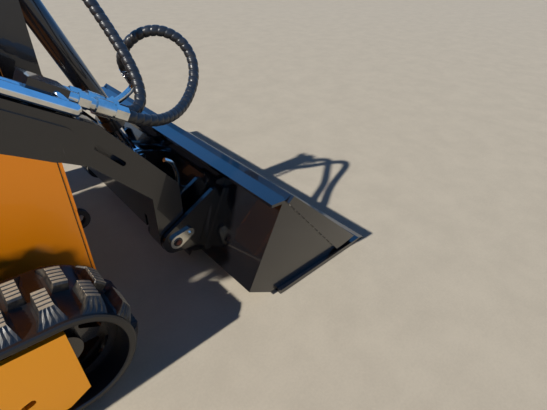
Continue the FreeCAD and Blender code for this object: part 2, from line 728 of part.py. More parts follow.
def hose(name, points):
    """A hose through its points, with a note of its radii and volume."""
    solid, radii, length = tube_along(points, HOSE_R)
    expected = math.pi * HOSE_R ** 2 * length
    print(name, "length", round(length, 1), "volume share", round(solid.Volume / expected, 4),
          "radii", [round(r) for r in radii])
    return solid


def tilt_ports():
    """The zinc fittings on the tilt barrel: a bent tube at the rod end, a straight one at the base."""
    before, end = routed(HOSE_A, COUPLER_SIDES[0])[-2:]
    back = (end - before).normalize()
    ux, uz, _ = direction(TILT_BASE, TILT_PIN)
    out = FreeCAD.Vector(-uz, 0.0, ux)
    seat = on_line(TILT_BASE, TILT_PIN, PORT_SEAT, 0.0)
    bend, radii, _ = tube_along([seat + out * 10.0, seat + out * 60.0 + FreeCAD.Vector(0, -PORT_R, 0),
                                 end + back * 48.0, end + back * PORT_GAP], PORT_R - 2.0)
    nut = hexagon(seat + out * 10.0, seat + out * 42.0, PORT_R + 4.0)
    collar = bar(end + back * 26.0, end + back * PORT_GAP, PORT_R + 1.0)
    below, top = routed(HOSE_B, COUPLER_SIDES[1])[-2:]
    inward = (top - below).normalize()
    straight = bar(top + inward * PORT_GAP, top + inward * 60.0, PORT_R)
    core = bar(at(*TILT_BASE), at(*TILT_PIN), TILT_BARREL_R)
    return Part.makeCompound([fuse([bend, nut, collar]).cut(core), straight.cut(core)])


# Running gear
def tread_lug(path, distance, y0, y1):
    """One lug, a block tapered on all sides, sunk in the belt. Its six faces are flat."""
    middle = path_point(path, distance, BELT_THICK, 0.0)
    back = path_point(path, distance - LUG_TOP / 2.0, BELT_THICK, 0.0)
    front = path_point(path, distance + LUG_TOP / 2.0, BELT_THICK, 0.0)
    raised = path_point(path, distance, BELT_THICK, 1.0)
    ux, uz, _ = direction(back, front)
    sign = math.copysign(1.0, (raised[0] - middle[0]) * -uz + (raised[1] - middle[1]) * ux)
    rings = []
    for half, lift, taper in ((LUG_BASE / 2.0, -LUG_ROOT, 0.0), (LUG_TOP / 2.0, LUG_HIGH, LUG_TAPER)):
        spots = [(middle[0] + ux * along - sign * uz * lift, middle[1] + uz * along + sign * ux * lift)
                 for along in (-half, half)]
        near, far = y0 + taper, y1 - taper
        rings.append([at(*spots[0], near), at(*spots[1], near), at(*spots[1], far), at(*spots[0], far)])
    low, high = rings
    loops = [low, high] + [[low[i - 1], low[i], high[i], high[i - 1]] for i in range(4)]
    faces = [Part.Face(Part.makePolygon(loop + loop[:1])) for loop in loops]
    solid = Part.makeSolid(Part.makeShell(faces))
    if solid.Volume < 0.0:
        solid.reverse()
    return solid


def track(side):
    """A closed rubber loop with two staggered rows of lugs, made on the left and mirrored."""
    circles = [IDLER, SPROCKET, REAR_ROLLER]
    path = belt_path(circles)
    total = sum(piece_length(p, BELT_THICK) for p in path)
    count = 2 * int(round(total / LUG_PITCH))
    step = total / count
    y0, y1 = TRACK_INNER, TRACK_INNER + TRACK_WIDE
    corners = [at(*path_point(path, (i + 0.5) * step, BELT_THICK, 0.0), y0) for i in range(count)]
    outer = Part.Face(Part.makePolygon(corners + corners[:1]))
    belt = outer.cut(Part.Face(belt_wire(circles, 0.0, y0))).extrude(FreeCAD.Vector(0, TRACK_WIDE, 0))
    lugs = []
    for i in range(count):
        near, far = LUG_ROWS[i % 2]
        lugs.append(tread_lug(path, total + i * step, y0 + near, y0 + far))
    whole = belt.multiFuse(lugs)
    return whole if side > 0 else mirrored(whole)


def wheel_span(side, wide):
    middle = side * (TRACK_INNER + TRACK_WIDE / 2.0)
    return middle - wide / 2.0, middle + wide / 2.0


def rim_and_hub(x, z, radius, side):
    y0, y1 = wheel_span(side, WHEEL_WIDE)
    rim = disc(x, z, radius - RUN_GAP, y0, y1).cut(disc(x, z, radius - RIM_DEEP, y0 - 1.0, y1 + 1.0))
    return [rim, disc(x, z, HUB_R, y0 - 8.0, y1 + 8.0)]


def idler(side):
    """The front wheel, its web open by rounded three-cornered windows."""
    x, z, radius = IDLER
    y0, y1 = wheel_span(side, IDLER_WEB)
    web = disc(x, z, radius - RIM_DEEP / 2.0, y0, y1)
    for i in range(IDLER_WINDOWS):
        middle = 360.0 * (i + 0.25) / IDLER_WINDOWS
        circles = []
        for away, turn in ((radius - RIM_DEEP - 12.0, -WINDOW_HALF), (radius - RIM_DEEP - 12.0, WINDOW_HALF),
                           (HUB_R + 14.0, 0.0)):
            angle = math.radians(middle + turn)
            circles.append((x + away * math.cos(angle), z + away * math.sin(angle), WINDOW_R))
        web = web.cut(link(circles, y0 - 1.0, y1 + 1.0))
    return fuse(rim_and_hub(x, z, radius, side) + [web])


def sprocket(side):
    """The rear drive wheel with its straight spokes."""
    x, z, radius = SPROCKET
    arms = []
    for i in range(SPROCKET_SPOKES):
        spoke = block(x, x + radius - RIM_DEEP / 2.0, *wheel_span(side, 32.0), z - 9.0, z + 9.0)
        spoke.rotate(at(x, z), ALONG_Y, 360.0 * (i + 0.25) / SPROCKET_SPOKES)
        arms.append(spoke)
    return fuse(rim_and_hub(x, z, radius, side) + arms)


def rollers(side):
    """The rollers that bear on the track's lower run."""
    y0, y1 = wheel_span(side, ROLLER_WIDE)
    low = IDLER[1] - IDLER[2]
    solids = [disc(x, low + ROLLER_R + RUN_GAP, ROLLER_R, y0, y1) for x in ROLLER_STATIONS]
    x, z, radius = REAR_ROLLER
    return Part.makeCompound(solids + [disc(x, z, radius - RUN_GAP, y0, y1)])


def track_frame(side):
    """The beam that carries the rollers, with the cover plate on its outer side."""
    y0, y1 = wheel_span(side, BEAM_WIDE)
    rear = SPROCKET[0] + SPROCKET[2] + 20.0
    front = IDLER[0] - HUB_R - 6.0
    beam = prism([(front, BEAM_LOW), (rear, BEAM_LOW), (rear, BEAM_HIGH), (front, BEAM_HIGH)], y0, y1)
    for x, z, radius in (IDLER, REAR_ROLLER):
        beam = beam.cut(disc(x, z, radius + 6.0, y0 - 1.0, y1 + 1.0))
    legs = []
    for x in ROLLER_STATIONS:
        leg = block(x - 14.0, x + 14.0, y0, y1, IDLER[1] - IDLER[2] + 40.0, BEAM_LOW)
        legs.append(leg.cut(disc(x, IDLER[1] - IDLER[2] + ROLLER_R, ROLLER_R + 1.0, y0 + 1.0, y1 - 1.0)))
    panel = FRAME_HALF + PANEL_THICK
    reach = TRACK_INNER + (TRACK_WIDE - BEAM_WIDE) / 2.0 + CARRIER_OVERLAP - panel
    carrier = block(*CARRIER, *span(side, panel, reach), BEAM_LOW, BEAM_HIGH)
    inset = TRACK_INNER + TRACK_WIDE - COVER_INSET - COVER_THICK
    c0, c1 = span(side, inset, COVER_THICK)
    plate = prism(list(COVER), c0, c1).cut(link(list(COVER_SLOT), c0 - 1.0, c1 + 1.0))
    outer = TRACK_INNER + (TRACK_WIDE + BEAM_WIDE) / 2.0
    stays = [block(x - 20.0, x + 20.0, *span(side, outer, inset - outer), BEAM_LOW, BEAM_HIGH) for x in STAYS]
    return fuse([beam, carrier, plate] + legs + stays)


# Body
def tie_plate(centre, side, inner):
    """A lug with a round hole for a chain hook or shackle."""
    y0, y1 = span(side, inner, TIE_THICK)
    back = math.copysign(TIE_R + 6.0, centre[0] + MIDDLE)
    root = (centre[0] - back, centre[1], TIE_R)
    return link([(*centre, TIE_R), (root[0], root[1] + 0.01, TIE_R)], y0, y1)


def tie_lugs():
    """The four tie-down lugs, as (centre, inner face)."""
    lugs = []
    for centre, inner in ((TIE_FRONT, TIE_FRONT_SIDE), (TIE_REAR, FRAME_HALF - TIE_THICK)):
        lugs += [tie_plate(centre, s, inner) for _, s in SIDES]
    return lugs


def step_brackets():
    """The ears on the rear plate that hold the platform's hinge pins."""
    x, z = STEP_HINGE
    ears = []
    for _, s in SIDES:
        ear = link([(x, z, 20.0), (BODY_REAR + 4.0, z - 14.0, 8.0), (BODY_REAR + 4.0, z + 30.0, 8.0)],
                   *span(s, BRACKET_INNER, EAR_THICK))
        ears.append(fuse([ear, disc(x, z, STEP_HINGE_R, *span(s, STEP_EAR - 2.0, EAR_THICK + 6.0))]))
    return ears


def frame_tub():
    """The open welded tub between the tracks, with its tie-down lugs."""
    inner = FRAME_HALF - PLATE
    front = BODY_FRONT + PLATE / 2.0
    floor = block(BODY_REAR, front, -inner, inner, BODY_FLOOR, BODY_FLOOR + PLATE)
    walls = [block(BODY_REAR, front, *span(s, inner, PLATE), BODY_FLOOR, TUB_HIGH) for _, s in SIDES]
    nose = block(front - PLATE, front, -inner, inner, BODY_FLOOR, TUB_HIGH)
    rear = block(BODY_REAR, BODY_REAR + PLATE, -inner, inner, BODY_FLOOR, TUB_REAR_HIGH)
    shape = fuse([floor, nose, rear] + walls + tie_lugs() + step_brackets())
    for x, z in (TIE_FRONT, TIE_REAR):
        shape = shape.cut(disc(x, z, TIE_HOLE_R, -FRAME_HALF - 1.0, FRAME_HALF + 1.0))
    return shape


def side_panel(side):
    """The amber panel, its outer front and top edges folded round."""
    profile = [(BODY_FRONT, TOWER_LOW), (BODY_FRONT, PANEL_NOSE),
               (TOWER_FRONT, PANEL_PEAK), (TOWER_FRONT, TOWER_LOW)]
    panel = prism(profile, *span(side, FRAME_HALF, PANEL_THICK))
    outer = side * (FRAME_HALF + PANEL_THICK)
    folds = []
    for edge in panel.Edges:
        middle = edge.CenterOfMass
        ahead = middle.x > MIDDLE + TOWER_FRONT + 1.0 and middle.z > TOWER_LOW + 1.0
        if ahead and abs(middle.y - outer) < 0.1:
            folds.append(edge)
    return panel.makeFillet(PANEL_ROUND, folds)


def tower(side):
    """The rear side plate that carries the arm pivot and the lift cylinder's base."""
    px, pz = ARM_PIVOT
    front = TOWER_FRONT - RUN_GAP
    profile = [(front, TOWER_LOW), (front, PANEL_PEAK), (px + 70.0, pz + 20.0), (px + 30.0, pz + 70.0),
               (px - 60.0, pz + 70.0), (px - 120.0, pz), (BODY_REAR, 720.0), (BODY_REAR, TOWER_LOW)]
    plate = prism(profile, *span(side, FRAME_HALF, PANEL_THICK))
    plate = plate.cut(disc(px, pz, ARM_PIN_R, *span(side, FRAME_HALF - 5.0, 30.0)))
    outer = FRAME_HALF + PANEL_THICK
    middle = ARM_INNER + ARM_WIDE / 2.0
    pin = disc(*LIFT_BASE, EYE_PIN_R, *span(side, outer, middle + EYE_WIDE / 2.0 + 6.0 - outer))
    boss = disc(*LIFT_BASE, EYE_R, *span(side, outer, middle - EYE_WIDE / 2.0 - RUN_GAP - outer))
    cap = disc(*LIFT_BASE, EYE_R - 6.0, *span(side, middle + EYE_WIDE / 2.0 + RUN_GAP, 8.0))
    return fuse([plate, pin, boss, cap])


def hood():
    """A bent cover over the engine, sloping down to the front."""
    half = FRAME_HALF - RUN_GAP
    line = list(HOOD_LINE) + [(BODY_FRONT, TUB_HIGH + RUN_GAP)]
    cover = bent_plate(line, HOOD_THICK, -half, half)
    bend, foot = HOOD_LINE[2:]
    ux, uz, _ = direction(bend, foot)
    for i in range(LOUVRES):
        start = LOUVRE_START + i * LOUVRE_PITCH
        end = start + LOUVRE_WIDE
        corners = [(bend[0] + ux * down - uz * out, bend[1] + uz * down + ux * out)
                   for down, out in ((start, -REACH), (end, -REACH), (end, REACH), (start, REACH))]
        for y0, y1 in LOUVRE_SPANS:
            cover = cover.cut(prism(corners, y0, y1))
    return cover


def engine():
    """The engine as one plain mass on four feet."""
    x0, x1, z0, z1 = ENGINE
    mass = block(x0, x1, -ENGINE_HALF, ENGINE_HALF, z0, z1)
    feet = []
    for x in (x0, x1 - FOOT_WIDE):
        for y in (-ENGINE_HALF, ENGINE_HALF - FOOT_WIDE):
            feet.append(block(x, x + FOOT_WIDE, y, y + FOOT_WIDE, BODY_FLOOR + PLATE, z0))
    return fuse([mass] + feet)


def console_blank():
    """The operator's column with its sloping control top."""
    half = FRAME_HALF - RUN_GAP
    feet = [(x, TUB_REAR_HIGH) for x in (CONSOLE_TOP[0][0], CONSOLE_TOP[-1][0])]
    profile = feet[:1] + list(CONSOLE_TOP) + feet[1:]
    return prism(profile, -half, half)


def control_levers():
    """Levers with round knobs on the control top."""
    (x0, z0), (x1, z1) = CONSOLE_TOP[1:3]
    foot = z0 + (z1 - z0) * (LEVER_STATION - x0) / (x1 - x0) - LEVER_SEAT
    solids = []
    for y in LEVER_SIDES:
        end = at(*LEVER_TOP, y)
        stem = bar(at(LEVER_STATION, foot, y), end, LEVER_R)
        solids.append(fuse([stem, Part.makeSphere(KNOB_R, end)]))
    return Part.makeCompound(solids)


def grab_bar():
    """The round bar that the operator holds, bent up from the control top."""
    low, high = [[at(*place, -GRAB_HALF), at(*place, GRAB_HALF)] for place in (GRAB_FOOT, GRAB_TOP)]
    legs = [bar(a, b, GRAB_R) for a, b in zip(low, high)]
    return fuse(legs + [bar(*high, GRAB_R)] + [Part.makeSphere(GRAB_R, c) for c in high])


def console():
    return console_blank().cut(control_levers()).cut(grab_bar())


def knee_pad():
    return block(BODY_REAR - PAD_THICK, BODY_REAR, -PAD_HALF, PAD_HALF, PAD_LOW, PAD_HIGH)


def platform():
    """The folding step, a tray with a skirt, slots and two hinge ears."""
    x0, x1 = STEP_FRONT - STEP_LONG, STEP_FRONT
    outer = block(x0, x1, -STEP_HALF, STEP_HALF, STEP_TOP - STEP_SKIRT, STEP_TOP)
    inside = block(x0 + STEP_THICK, x1 + 1.0, -STEP_HALF + STEP_THICK, STEP_HALF - STEP_THICK,
                   STEP_TOP - STEP_SKIRT - 1.0, STEP_TOP - STEP_THICK)
    shape = outer.cut(inside)
    pitch = (x1 - x0) / (STEP_SLOTS + 1.0)
    holes = []
    for i in range(STEP_SLOTS):
        x = x0 + pitch * (i + 1.0) - SLOT_WIDE / 2.0
        for y in SLOT_ROWS:
            holes.append(block(x, x + SLOT_WIDE, y - SLOT_LONG / 2.0, y + SLOT_LONG / 2.0,
                               STEP_TOP - REACH, STEP_TOP + 1.0))
    for _, s in SIDES:
        y0, y1 = span(s, BRACKET_INNER - FORK_GAP, EAR_THICK + 2.0 * FORK_GAP)
        holes.append(block(x1 - STEP_NOTCH, x1 + 1.0, y0, y1, STEP_TOP - STEP_SKIRT - 1.0, STEP_TOP + 1.0))
    shape = shape.cut(Part.makeCompound(holes))
    hx, hz = STEP_HINGE
    ears = []
    for _, s in SIDES:
        outline = [(hx, hz, 20.0), (x1 - 60.0, hz + 12.0, 10.0), (x1 - 60.0, hz + 8.0, 10.0)]
        ears.append(link(outline, *span(s, STEP_EAR, EAR_THICK)))
    return fuse([shape] + ears).cut(disc(hx, hz, STEP_HINGE_R + RUN_GAP, -STEP_HALF, STEP_HALF))


def export(name, shape):
    shape.exportStep("parts/" + name + ".step")
    print(name, len(shape.Solids), "solid(s)", round(shape.Volume / 1e6, 2), "litres", shape.isValid())


def build():
    os.makedirs("parts", exist_ok=True)
    singles = (bucket, cutting_edge, attach_plate, attach_pins, latch_handles, knee_tube, cross_plate,
               tilt_bracket, arm_pins, work_tubes, coupler_block, couplers, tilt_ports, frame_tub, hood,
               engine, console, control_levers, grab_bar, knee_pad, platform)
    for make in singles:
        export(make.__name__, make())
    pairs = (upper_arm, lower_arm, track, idler, sprocket, rollers, track_frame, side_panel, tower)
    for name, side in SIDES:
        for make in pairs:
            export(make.__name__ + "_" + name, make(side))
        middle = side * (ARM_INNER + ARM_WIDE / 2.0)
        export("lift_barrel_" + name, barrel(LIFT_BASE, LIFT_EYE, LIFT_BARREL_R, LIFT_ROD_R,
                                             LIFT_SHOWING, LIFT_STROKE, LIFT_RETRACT, middle))
        export("lift_rod_" + name, rod(LIFT_BASE, LIFT_EYE, LIFT_ROD_R, LIFT_SHOWING, LIFT_STROKE, middle))
    export("tilt_barrel", barrel(TILT_BASE, TILT_PIN, TILT_BARREL_R, TILT_ROD_R,
                                 TILT_SHOWING, TILT_STROKE, TILT_RETRACT, 0.0))
    export("tilt_rod", rod(TILT_BASE, TILT_PIN, TILT_ROD_R, TILT_SHOWING, TILT_STROKE, 0.0))
    export("hose_a", hose("hose_a", routed(HOSE_A, COUPLER_SIDES[0])))
    export("hose_b", hose("hose_b", routed(HOSE_B, COUPLER_SIDES[1])))


build()
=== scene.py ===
# %% [markdown]
# # A compact tracked loader, dressed in steel, rubber and paint
#
# The machine's plates, pins and cylinders arrive already built and placed, as a fixed frame.
# This lesson gives every one of them its finish, and adds what is too fine for the frame:
# the spiral guard on the hoses, the moulded tread of the tracks, nuts, bolts and weld beads.
# Everything is in metres, with +X forward to the bucket and +Z up, so each new piece goes
# exactly where the frame says.

# %% Load the frame
import bmesh
import bpy
import math
from mathutils import Matrix, Vector


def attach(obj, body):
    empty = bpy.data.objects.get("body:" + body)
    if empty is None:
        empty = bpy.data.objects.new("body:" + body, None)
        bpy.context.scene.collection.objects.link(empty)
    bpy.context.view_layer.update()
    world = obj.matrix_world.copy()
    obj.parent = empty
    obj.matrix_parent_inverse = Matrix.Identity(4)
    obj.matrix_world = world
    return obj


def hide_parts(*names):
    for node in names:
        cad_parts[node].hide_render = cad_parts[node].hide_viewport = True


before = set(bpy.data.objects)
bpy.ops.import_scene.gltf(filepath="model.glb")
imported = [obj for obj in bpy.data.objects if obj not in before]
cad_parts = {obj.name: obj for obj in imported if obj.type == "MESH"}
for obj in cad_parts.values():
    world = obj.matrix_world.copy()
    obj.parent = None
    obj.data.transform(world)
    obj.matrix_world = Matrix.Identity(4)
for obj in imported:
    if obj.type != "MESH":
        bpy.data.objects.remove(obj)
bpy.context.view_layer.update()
MM = 0.001
RIGHT, LEFT = -1.0, 1.0

# %% [markdown]
# ## The camera
#
# The picture is taken by someone who stands at the machine's right side, just behind the arms'
# knee, and looks forward and down at the bucket. A wide phone lens gives a frame 36 mm wide at
# 25 mm of focal length. The camera's axes are worked out from three angles, as a surveyor would:
# the heading from the machine's forward axis, the dip below the horizon, and a slight roll.

# %% Camera
EYE = Vector((0.280, -1.092, 0.841))
HEADING = math.radians(46.3)
DIP = math.radians(34.9)
ROLL = math.radians(-2.1)
LENS = 25.1


def make_camera():
    ahead = Vector((math.cos(HEADING) * math.cos(DIP), math.sin(HEADING) * math.cos(DIP), -math.sin(DIP)))
    across = Vector((math.sin(HEADING), -math.cos(HEADING), 0.0))
    down = ahead.cross(across)
    right = across * math.cos(ROLL) + down * math.sin(ROLL)
    up = right.cross(ahead)
    turn = Matrix((right, up, -ahead)).transposed()
    data = bpy.data.cameras.new("camera")
    data.lens = LENS
    data.sensor_width = 36.0
    data.clip_start = 0.02
    camera = bpy.data.objects.new("camera", data)
    camera.matrix_world = Matrix.Translation(EYE) @ turn.to_4x4()
    bpy.context.scene.collection.objects.link(camera)
    bpy.context.scene.camera = camera


make_camera()
print("camera at", tuple(EYE), "lens", LENS)

# %% [markdown]
# ## Writing shaders as sums
#
# A shader graph is easier to read as arithmetic. The small class below wraps one socket, and
# Python's own operators add the Math nodes: `1 - mask * 0.5` becomes two nodes and their links.
# A second class holds one material, with a method that makes any node from its settings and
# inputs, and short helpers for noise, ramps and bumps in the piece's own coordinates.

# %% Shader helpers
class Term:
    """A socket in a shader on which + - and * add Math nodes."""

    def __init__(self, finish, socket):
        self.finish = finish
        self.socket = socket

    def math(self, operation, first, second):
        return self.finish.node("ShaderNodeMath", {"operation": operation}, {0: first, 1: second})

    def __add__(self, other):
        return self.math("ADD", self, other)

    def __sub__(self, other):
        return self.math("SUBTRACT", self, other)

    def __rsub__(self, other):
        return self.math("SUBTRACT", other, self)

    def __mul__(self, other):
        return self.math("MULTIPLY", self, other)


class Finish:
    """One material: a Principled shader and what feeds it."""

    def __init__(self, name, colour, roughness, **fixed):
        self.material = bpy.data.materials.new(name)
        self.material.use_nodes = True
        self.tree = self.material.node_tree
        self.shader = self.tree.nodes["Principled BSDF"]
        self.shader.inputs["Base Color"].default_value = (*colour, 1.0)
        self.shader.inputs["Roughness"].default_value = roughness
        for key, value in fixed.items():
            self.shader.inputs[key.replace("_", " ").title()].default_value = value
        self.place = self.node("ShaderNodeTexCoord", {}, {}, "Object")

    def node(self, kind, settings, inputs, out=0):
        made = self.tree.nodes.new(kind)
        for key, value in settings.items():
            setattr(made, key, value)
        for key, value in inputs.items():
            self.plug(made.inputs[key], value)
        return Term(self, made.outputs[out])

    def plug(self, socket, value):
        if isinstance(value, Term):
            self.tree.links.new(value.socket, socket)
        else:
            socket.default_value = value

    def feed(self, name, value):
        self.plug(self.shader.inputs[name], value)

    def stretched(self, scale):
        return self.node("ShaderNodeMapping", {}, {"Vector": self.place, "Scale": scale})

    def noise(self, scale, detail=3.0, roughness=0.55, place=None):
        inputs = {"Vector": place or self.place, "Scale": scale, "Detail": detail, "Roughness": roughness}
        return self.node("ShaderNodeTexNoise", {}, inputs)

    def band(self, value, low, high):
        """0 below low, 1 above high, smooth between."""
        return self.node("ShaderNodeMapRange", {"interpolation_type": "SMOOTHSTEP"},
                         {"Value": value, "From Min": low, "From Max": high})

    def mix(self, factor, one, two):
        """A colour between two colours or colour sockets."""
        inputs = {0: factor, 6: self.rgba(one), 7: self.rgba(two)}
        return self.node("ShaderNodeMix", {"data_type": "RGBA"}, inputs, 2)

    def rgba(self, value):
        return value if isinstance(value, Term) else (*value, 1.0)

    def axis(self, name):
        """The X, Y or Z of the place, in metres."""
        return self.node("ShaderNodeSeparateXYZ", {}, {0: self.place}, name)

    def facing_up(self):
        """1 on faces that look up, 0 on walls and undersides."""
        normal = self.node("ShaderNodeNewGeometry", {}, {}, "Normal")
        return self.band(self.node("ShaderNodeSeparateXYZ", {}, {0: normal}, "Z"), 0.2, 0.95)

    def bump(self, height, distance, strength=1.0):
        return self.node("ShaderNodeBump", {}, {"Height": height, "Distance": distance, "Strength": strength})


def dress(material, *names):
    """Give a CAD node or a new piece its only material."""
    for name in names:
        mesh = bpy.data.objects[name].data
        mesh.materials.clear()
        mesh.materials.append(material)


# %% [markdown]
# ## The hoses
#
# Two guarded hoses join the couplers on the right arm to the tilt cylinder. Each is one smooth
# NURBS curve through a short list of given points. The guard is a flat plastic strip
# wound round the hose: seen close, it is a row of slanted bands with a narrow groove between.
# A grid of faces is wrapped round the curve, and the radius of each vertex dips where the
# groove of the winding passes, so the spiral is real geometry and catches the light.

# %% Hose routes
HOSE_A = (
    (0.5747, -0.3270, 0.5283), (0.6131, -0.3270, 0.5049), (0.6690, -0.3090, 0.4890),
    (0.7250, -0.2770, 0.4850), (0.7760, -0.2430, 0.5000), (0.8170, -0.2120, 0.5330),
    (0.8340, -0.1840, 0.5800), (0.8190, -0.1560, 0.6220), (0.7810, -0.1290, 0.6440),
    (0.7390, -0.1030, 0.6380), (0.7080, -0.0800, 0.6110), (0.6950, -0.0580, 0.5770),
    (0.7030, -0.0400, 0.5440), (0.7160, -0.0300, 0.5200),
)
HOSE_B = (
    (0.5747, -0.2790, 0.5283), (0.5970, -0.2790, 0.5148), (0.6220, -0.2680, 0.5100),
    (0.6440, -0.2520, 0.5210), (0.6540, -0.2340, 0.5460), (0.6560, -0.2130, 0.5790),
    (0.6530, -0.1860, 0.6130), (0.6470, -0.1570, 0.6470), (0.6390, -0.1300, 0.6810),
    (0.6300, -0.1060, 0.7140), (0.6160, -0.0880, 0.7430), (0.5960, -0.0730, 0.7630),
    (0.5740, -0.0566, 0.7683), (0.5557, -0.0401, 0.7607),
)
HOSE_RADIUS = 13.5 * MM
GUARD_PITCH = 18.0 * MM
GROOVE_DEEP = 2.3 * MM
ROUND_SIDES = 20
STEP_ALONG = 1.5 * MM
GUARD_COLOUR = (0.016, 0.017, 0.020)


def route_points(name, points):
    """The smooth centreline of a route, as a dense list of vectors."""
    curve = bpy.data.curves.new(name + "_route", "CURVE")
    curve.dimensions = "3D"
    spline = curve.splines.new("NURBS")
    spline.points.add(len(points) - 1)
    for point, place in zip(spline.points, points):
        point.co = (*place, 1.0)
    spline.order_u = 3
    spline.use_endpoint_u = True
    spline.resolution_u = 24
    holder = bpy.data.objects.new(name + "_route", curve)
    bpy.context.scene.collection.objects.link(holder)
    bpy.context.view_layer.update()
    mesh = bpy.data.meshes.new_from_object(holder)
    line = [v.co.copy() for v in mesh.vertices]
    bpy.data.objects.remove(holder)
    return line


def evenly(line, step):
    """The same line at even steps, both ends kept."""
    lengths = [0.0]
    for a, b in zip(line, line[1:]):
        lengths.append(lengths[-1] + (b - a).length)
    count = max(2, round(lengths[-1] / step))
    points = []
    i = 0
    for k in range(count + 1):
        want = lengths[-1] * k / count
        while i < len(line) - 2 and lengths[i + 1] < want:
            i += 1
        share = (want - lengths[i]) / max(lengths[i + 1] - lengths[i], 1e-9)
        points.append(line[i].lerp(line[i + 1], share))
    return points, lengths[-1]


def frames_along(points):
    """A pair of side vectors at each point, carried along without twist."""
    side = (points[1] - points[0]).cross(Vector((0, 0, 1))).normalized()
    found = []
    for i, point in enumerate(points):
        ahead = (points[min(i + 1, len(points) - 1)] - points[max(i - 1, 0)]).normalized()
        side = (side - ahead * side.dot(ahead)).normalized()
        found.append((side, ahead.cross(side)))
    return found


def finished(name, bm, material, body):
    """Turn a bmesh into a piece of the object that rides on a body."""
    bmesh.ops.recalc_face_normals(bm, faces=bm.faces)
    mesh = bpy.data.meshes.new(name)
    bm.to_mesh(mesh)
    bm.free()
    piece = bpy.data.objects.new(name, mesh)
    bpy.context.scene.collection.objects.link(piece)
    mesh.materials.append(material)
    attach(piece, body)
    return piece


def guard_dip(turns):
    """How deep the winding's groove is at a phase of the spiral, as a share."""
    return abs(2.0 * (turns % 1.0) - 1.0) ** 4


def wrapped(bm, line, sides, radius):
    """Wrap a grid of faces round a line: radius(i, share) is the distance at each place round it."""
    pairs = frames_along(line)
    made = bmesh.ops.create_grid(bm, x_segments=len(line) - 1, y_segments=sides, size=0.5)
    for v in made["verts"]:
        i = round((v.co.x + 0.5) * (len(line) - 1))
        share = v.co.y + 0.5
        angle = 2.0 * math.pi * share
        side, other = pairs[i]
        v.co = line[i] + (side * math.cos(angle) + other * math.sin(angle)) * radius(i, share)
    bmesh.ops.remove_doubles(bm, verts=made["verts"], dist=1e-6)
    bmesh.ops.holes_fill(bm, edges=[e for e in bm.edges if e.is_boundary])


def smooth_walls(bm):
    """Smooth shading round a wrapped line, with its two end caps left flat."""
    for face in bm.faces:
        face.smooth = len(face.verts) == 4


def guarded_hose(name, route, material, node):
    line, length = evenly(route_points(name, route), STEP_ALONG)
    bm = bmesh.new()
    wrapped(bm, line, ROUND_SIDES,
            lambda i, share: HOSE_RADIUS - GROOVE_DEEP * guard_dip(i * STEP_ALONG / GUARD_PITCH + share))
    smooth_walls(bm)
    piece = finished(name, bm, material, "arms")
    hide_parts(node)
    print(name, "length", round(length, 3), "faces", len(piece.data.polygons))
    return line


guard = Finish("hose_guard", GUARD_COLOUR, 0.34)
dust = guard.band(guard.noise(55.0, 4.0), 0.5, 0.8)
guard.feed("Base Color", guard.mix(dust * 0.15, GUARD_COLOUR, (0.16, 0.15, 0.135)))
guard.feed("Roughness", guard.noise(140.0) * 0.12 + 0.28)
guard.feed("Normal", guard.bump(guard.noise(420.0, 2.0), 0.0002))
HOSE_LINES = [guarded_hose("guarded_hose_a", HOSE_A, guard.material, "hose_a"),
              guarded_hose("guarded_hose_b", HOSE_B, guard.material, "hose_b")]

# %% [markdown]
# ## Paint
#
# The sheet metal is sprayed amber enamel over steel. Close to, enamel has a fine orange peel,
# its upper faces and lower parts carry dust, and broad patches differ a little in tone. The arms and
# the bucket are gloss black: almost no colour of their own, a clear sharp reflection, and a
# film of pale dust that shows most on faces that look up. The tub's nose, in front of the side
# panels, is a dull black that is painted shade, and the covers of the tracks are a brighter,
# yellower amber that is painted light for the sun and ground bounce they catch.

# %% Paints
def enamel(name, colour, roughness, peel, dust_amount, coat, nose=None):
    """Sprayed enamel with a clear gloss, orange peel, thin dust, specks and a few fine scratches.

    In front of the place nose, in metres along X, the paint turns a dull black: painted shade.
    """
    paint = Finish(name, colour, roughness, coat_weight=coat, coat_roughness=0.03)
    tone = paint.noise(2.5, 2.0) * 0.3 + 0.85
    base = paint.mix(tone, tuple(c * 0.8 for c in colour), colour)
    # painted shade: ahead of X = nose the paint turns a dull, rougher black with less coat
    nose_painted_shade = 0.0
    if nose is not None:
        nose_painted_shade = paint.band(paint.axis("X"), nose, nose + 0.004)
        base = paint.mix(nose_painted_shade, base, NOSE_PAINTED_SHADE)
        paint.feed("Coat Weight", coat - nose_painted_shade * coat)
    film = paint.band(paint.noise(9.0, 5.0, 0.65), 0.45, 0.8) * dust_amount * (paint.facing_up() * 0.6 + 0.4)
    low = 1.0 - paint.band(paint.axis("Z"), 0.02, 0.35)
    film = film + low * dust_amount * 0.5 * paint.noise(26.0, 4.0)
    specks = paint.band(paint.noise(240.0, 2.0), 0.70, 0.76) * paint.band(paint.noise(14.0, 3.0), 0.5, 0.65)
    fine = paint.noise(900.0, 1.0, 0.5, paint.stretched((1.0, 1.0, 0.04)))
    scratch = paint.band(fine, 0.72, 0.78) * paint.band(paint.noise(6.0), 0.55, 0.65)
    marks = film + specks * dust_amount * 3.0 + scratch * 0.12
    paint.feed("Base Color", paint.mix(marks, base, DUST))
    paint.feed("Roughness", film * 0.6 + scratch * 0.2 + paint.noise(30.0) * 0.06 + roughness + nose_painted_shade * 0.5)
    paint.feed("Normal", paint.bump(paint.noise(320.0, 2.0), 0.0002, peel))
    return paint.material


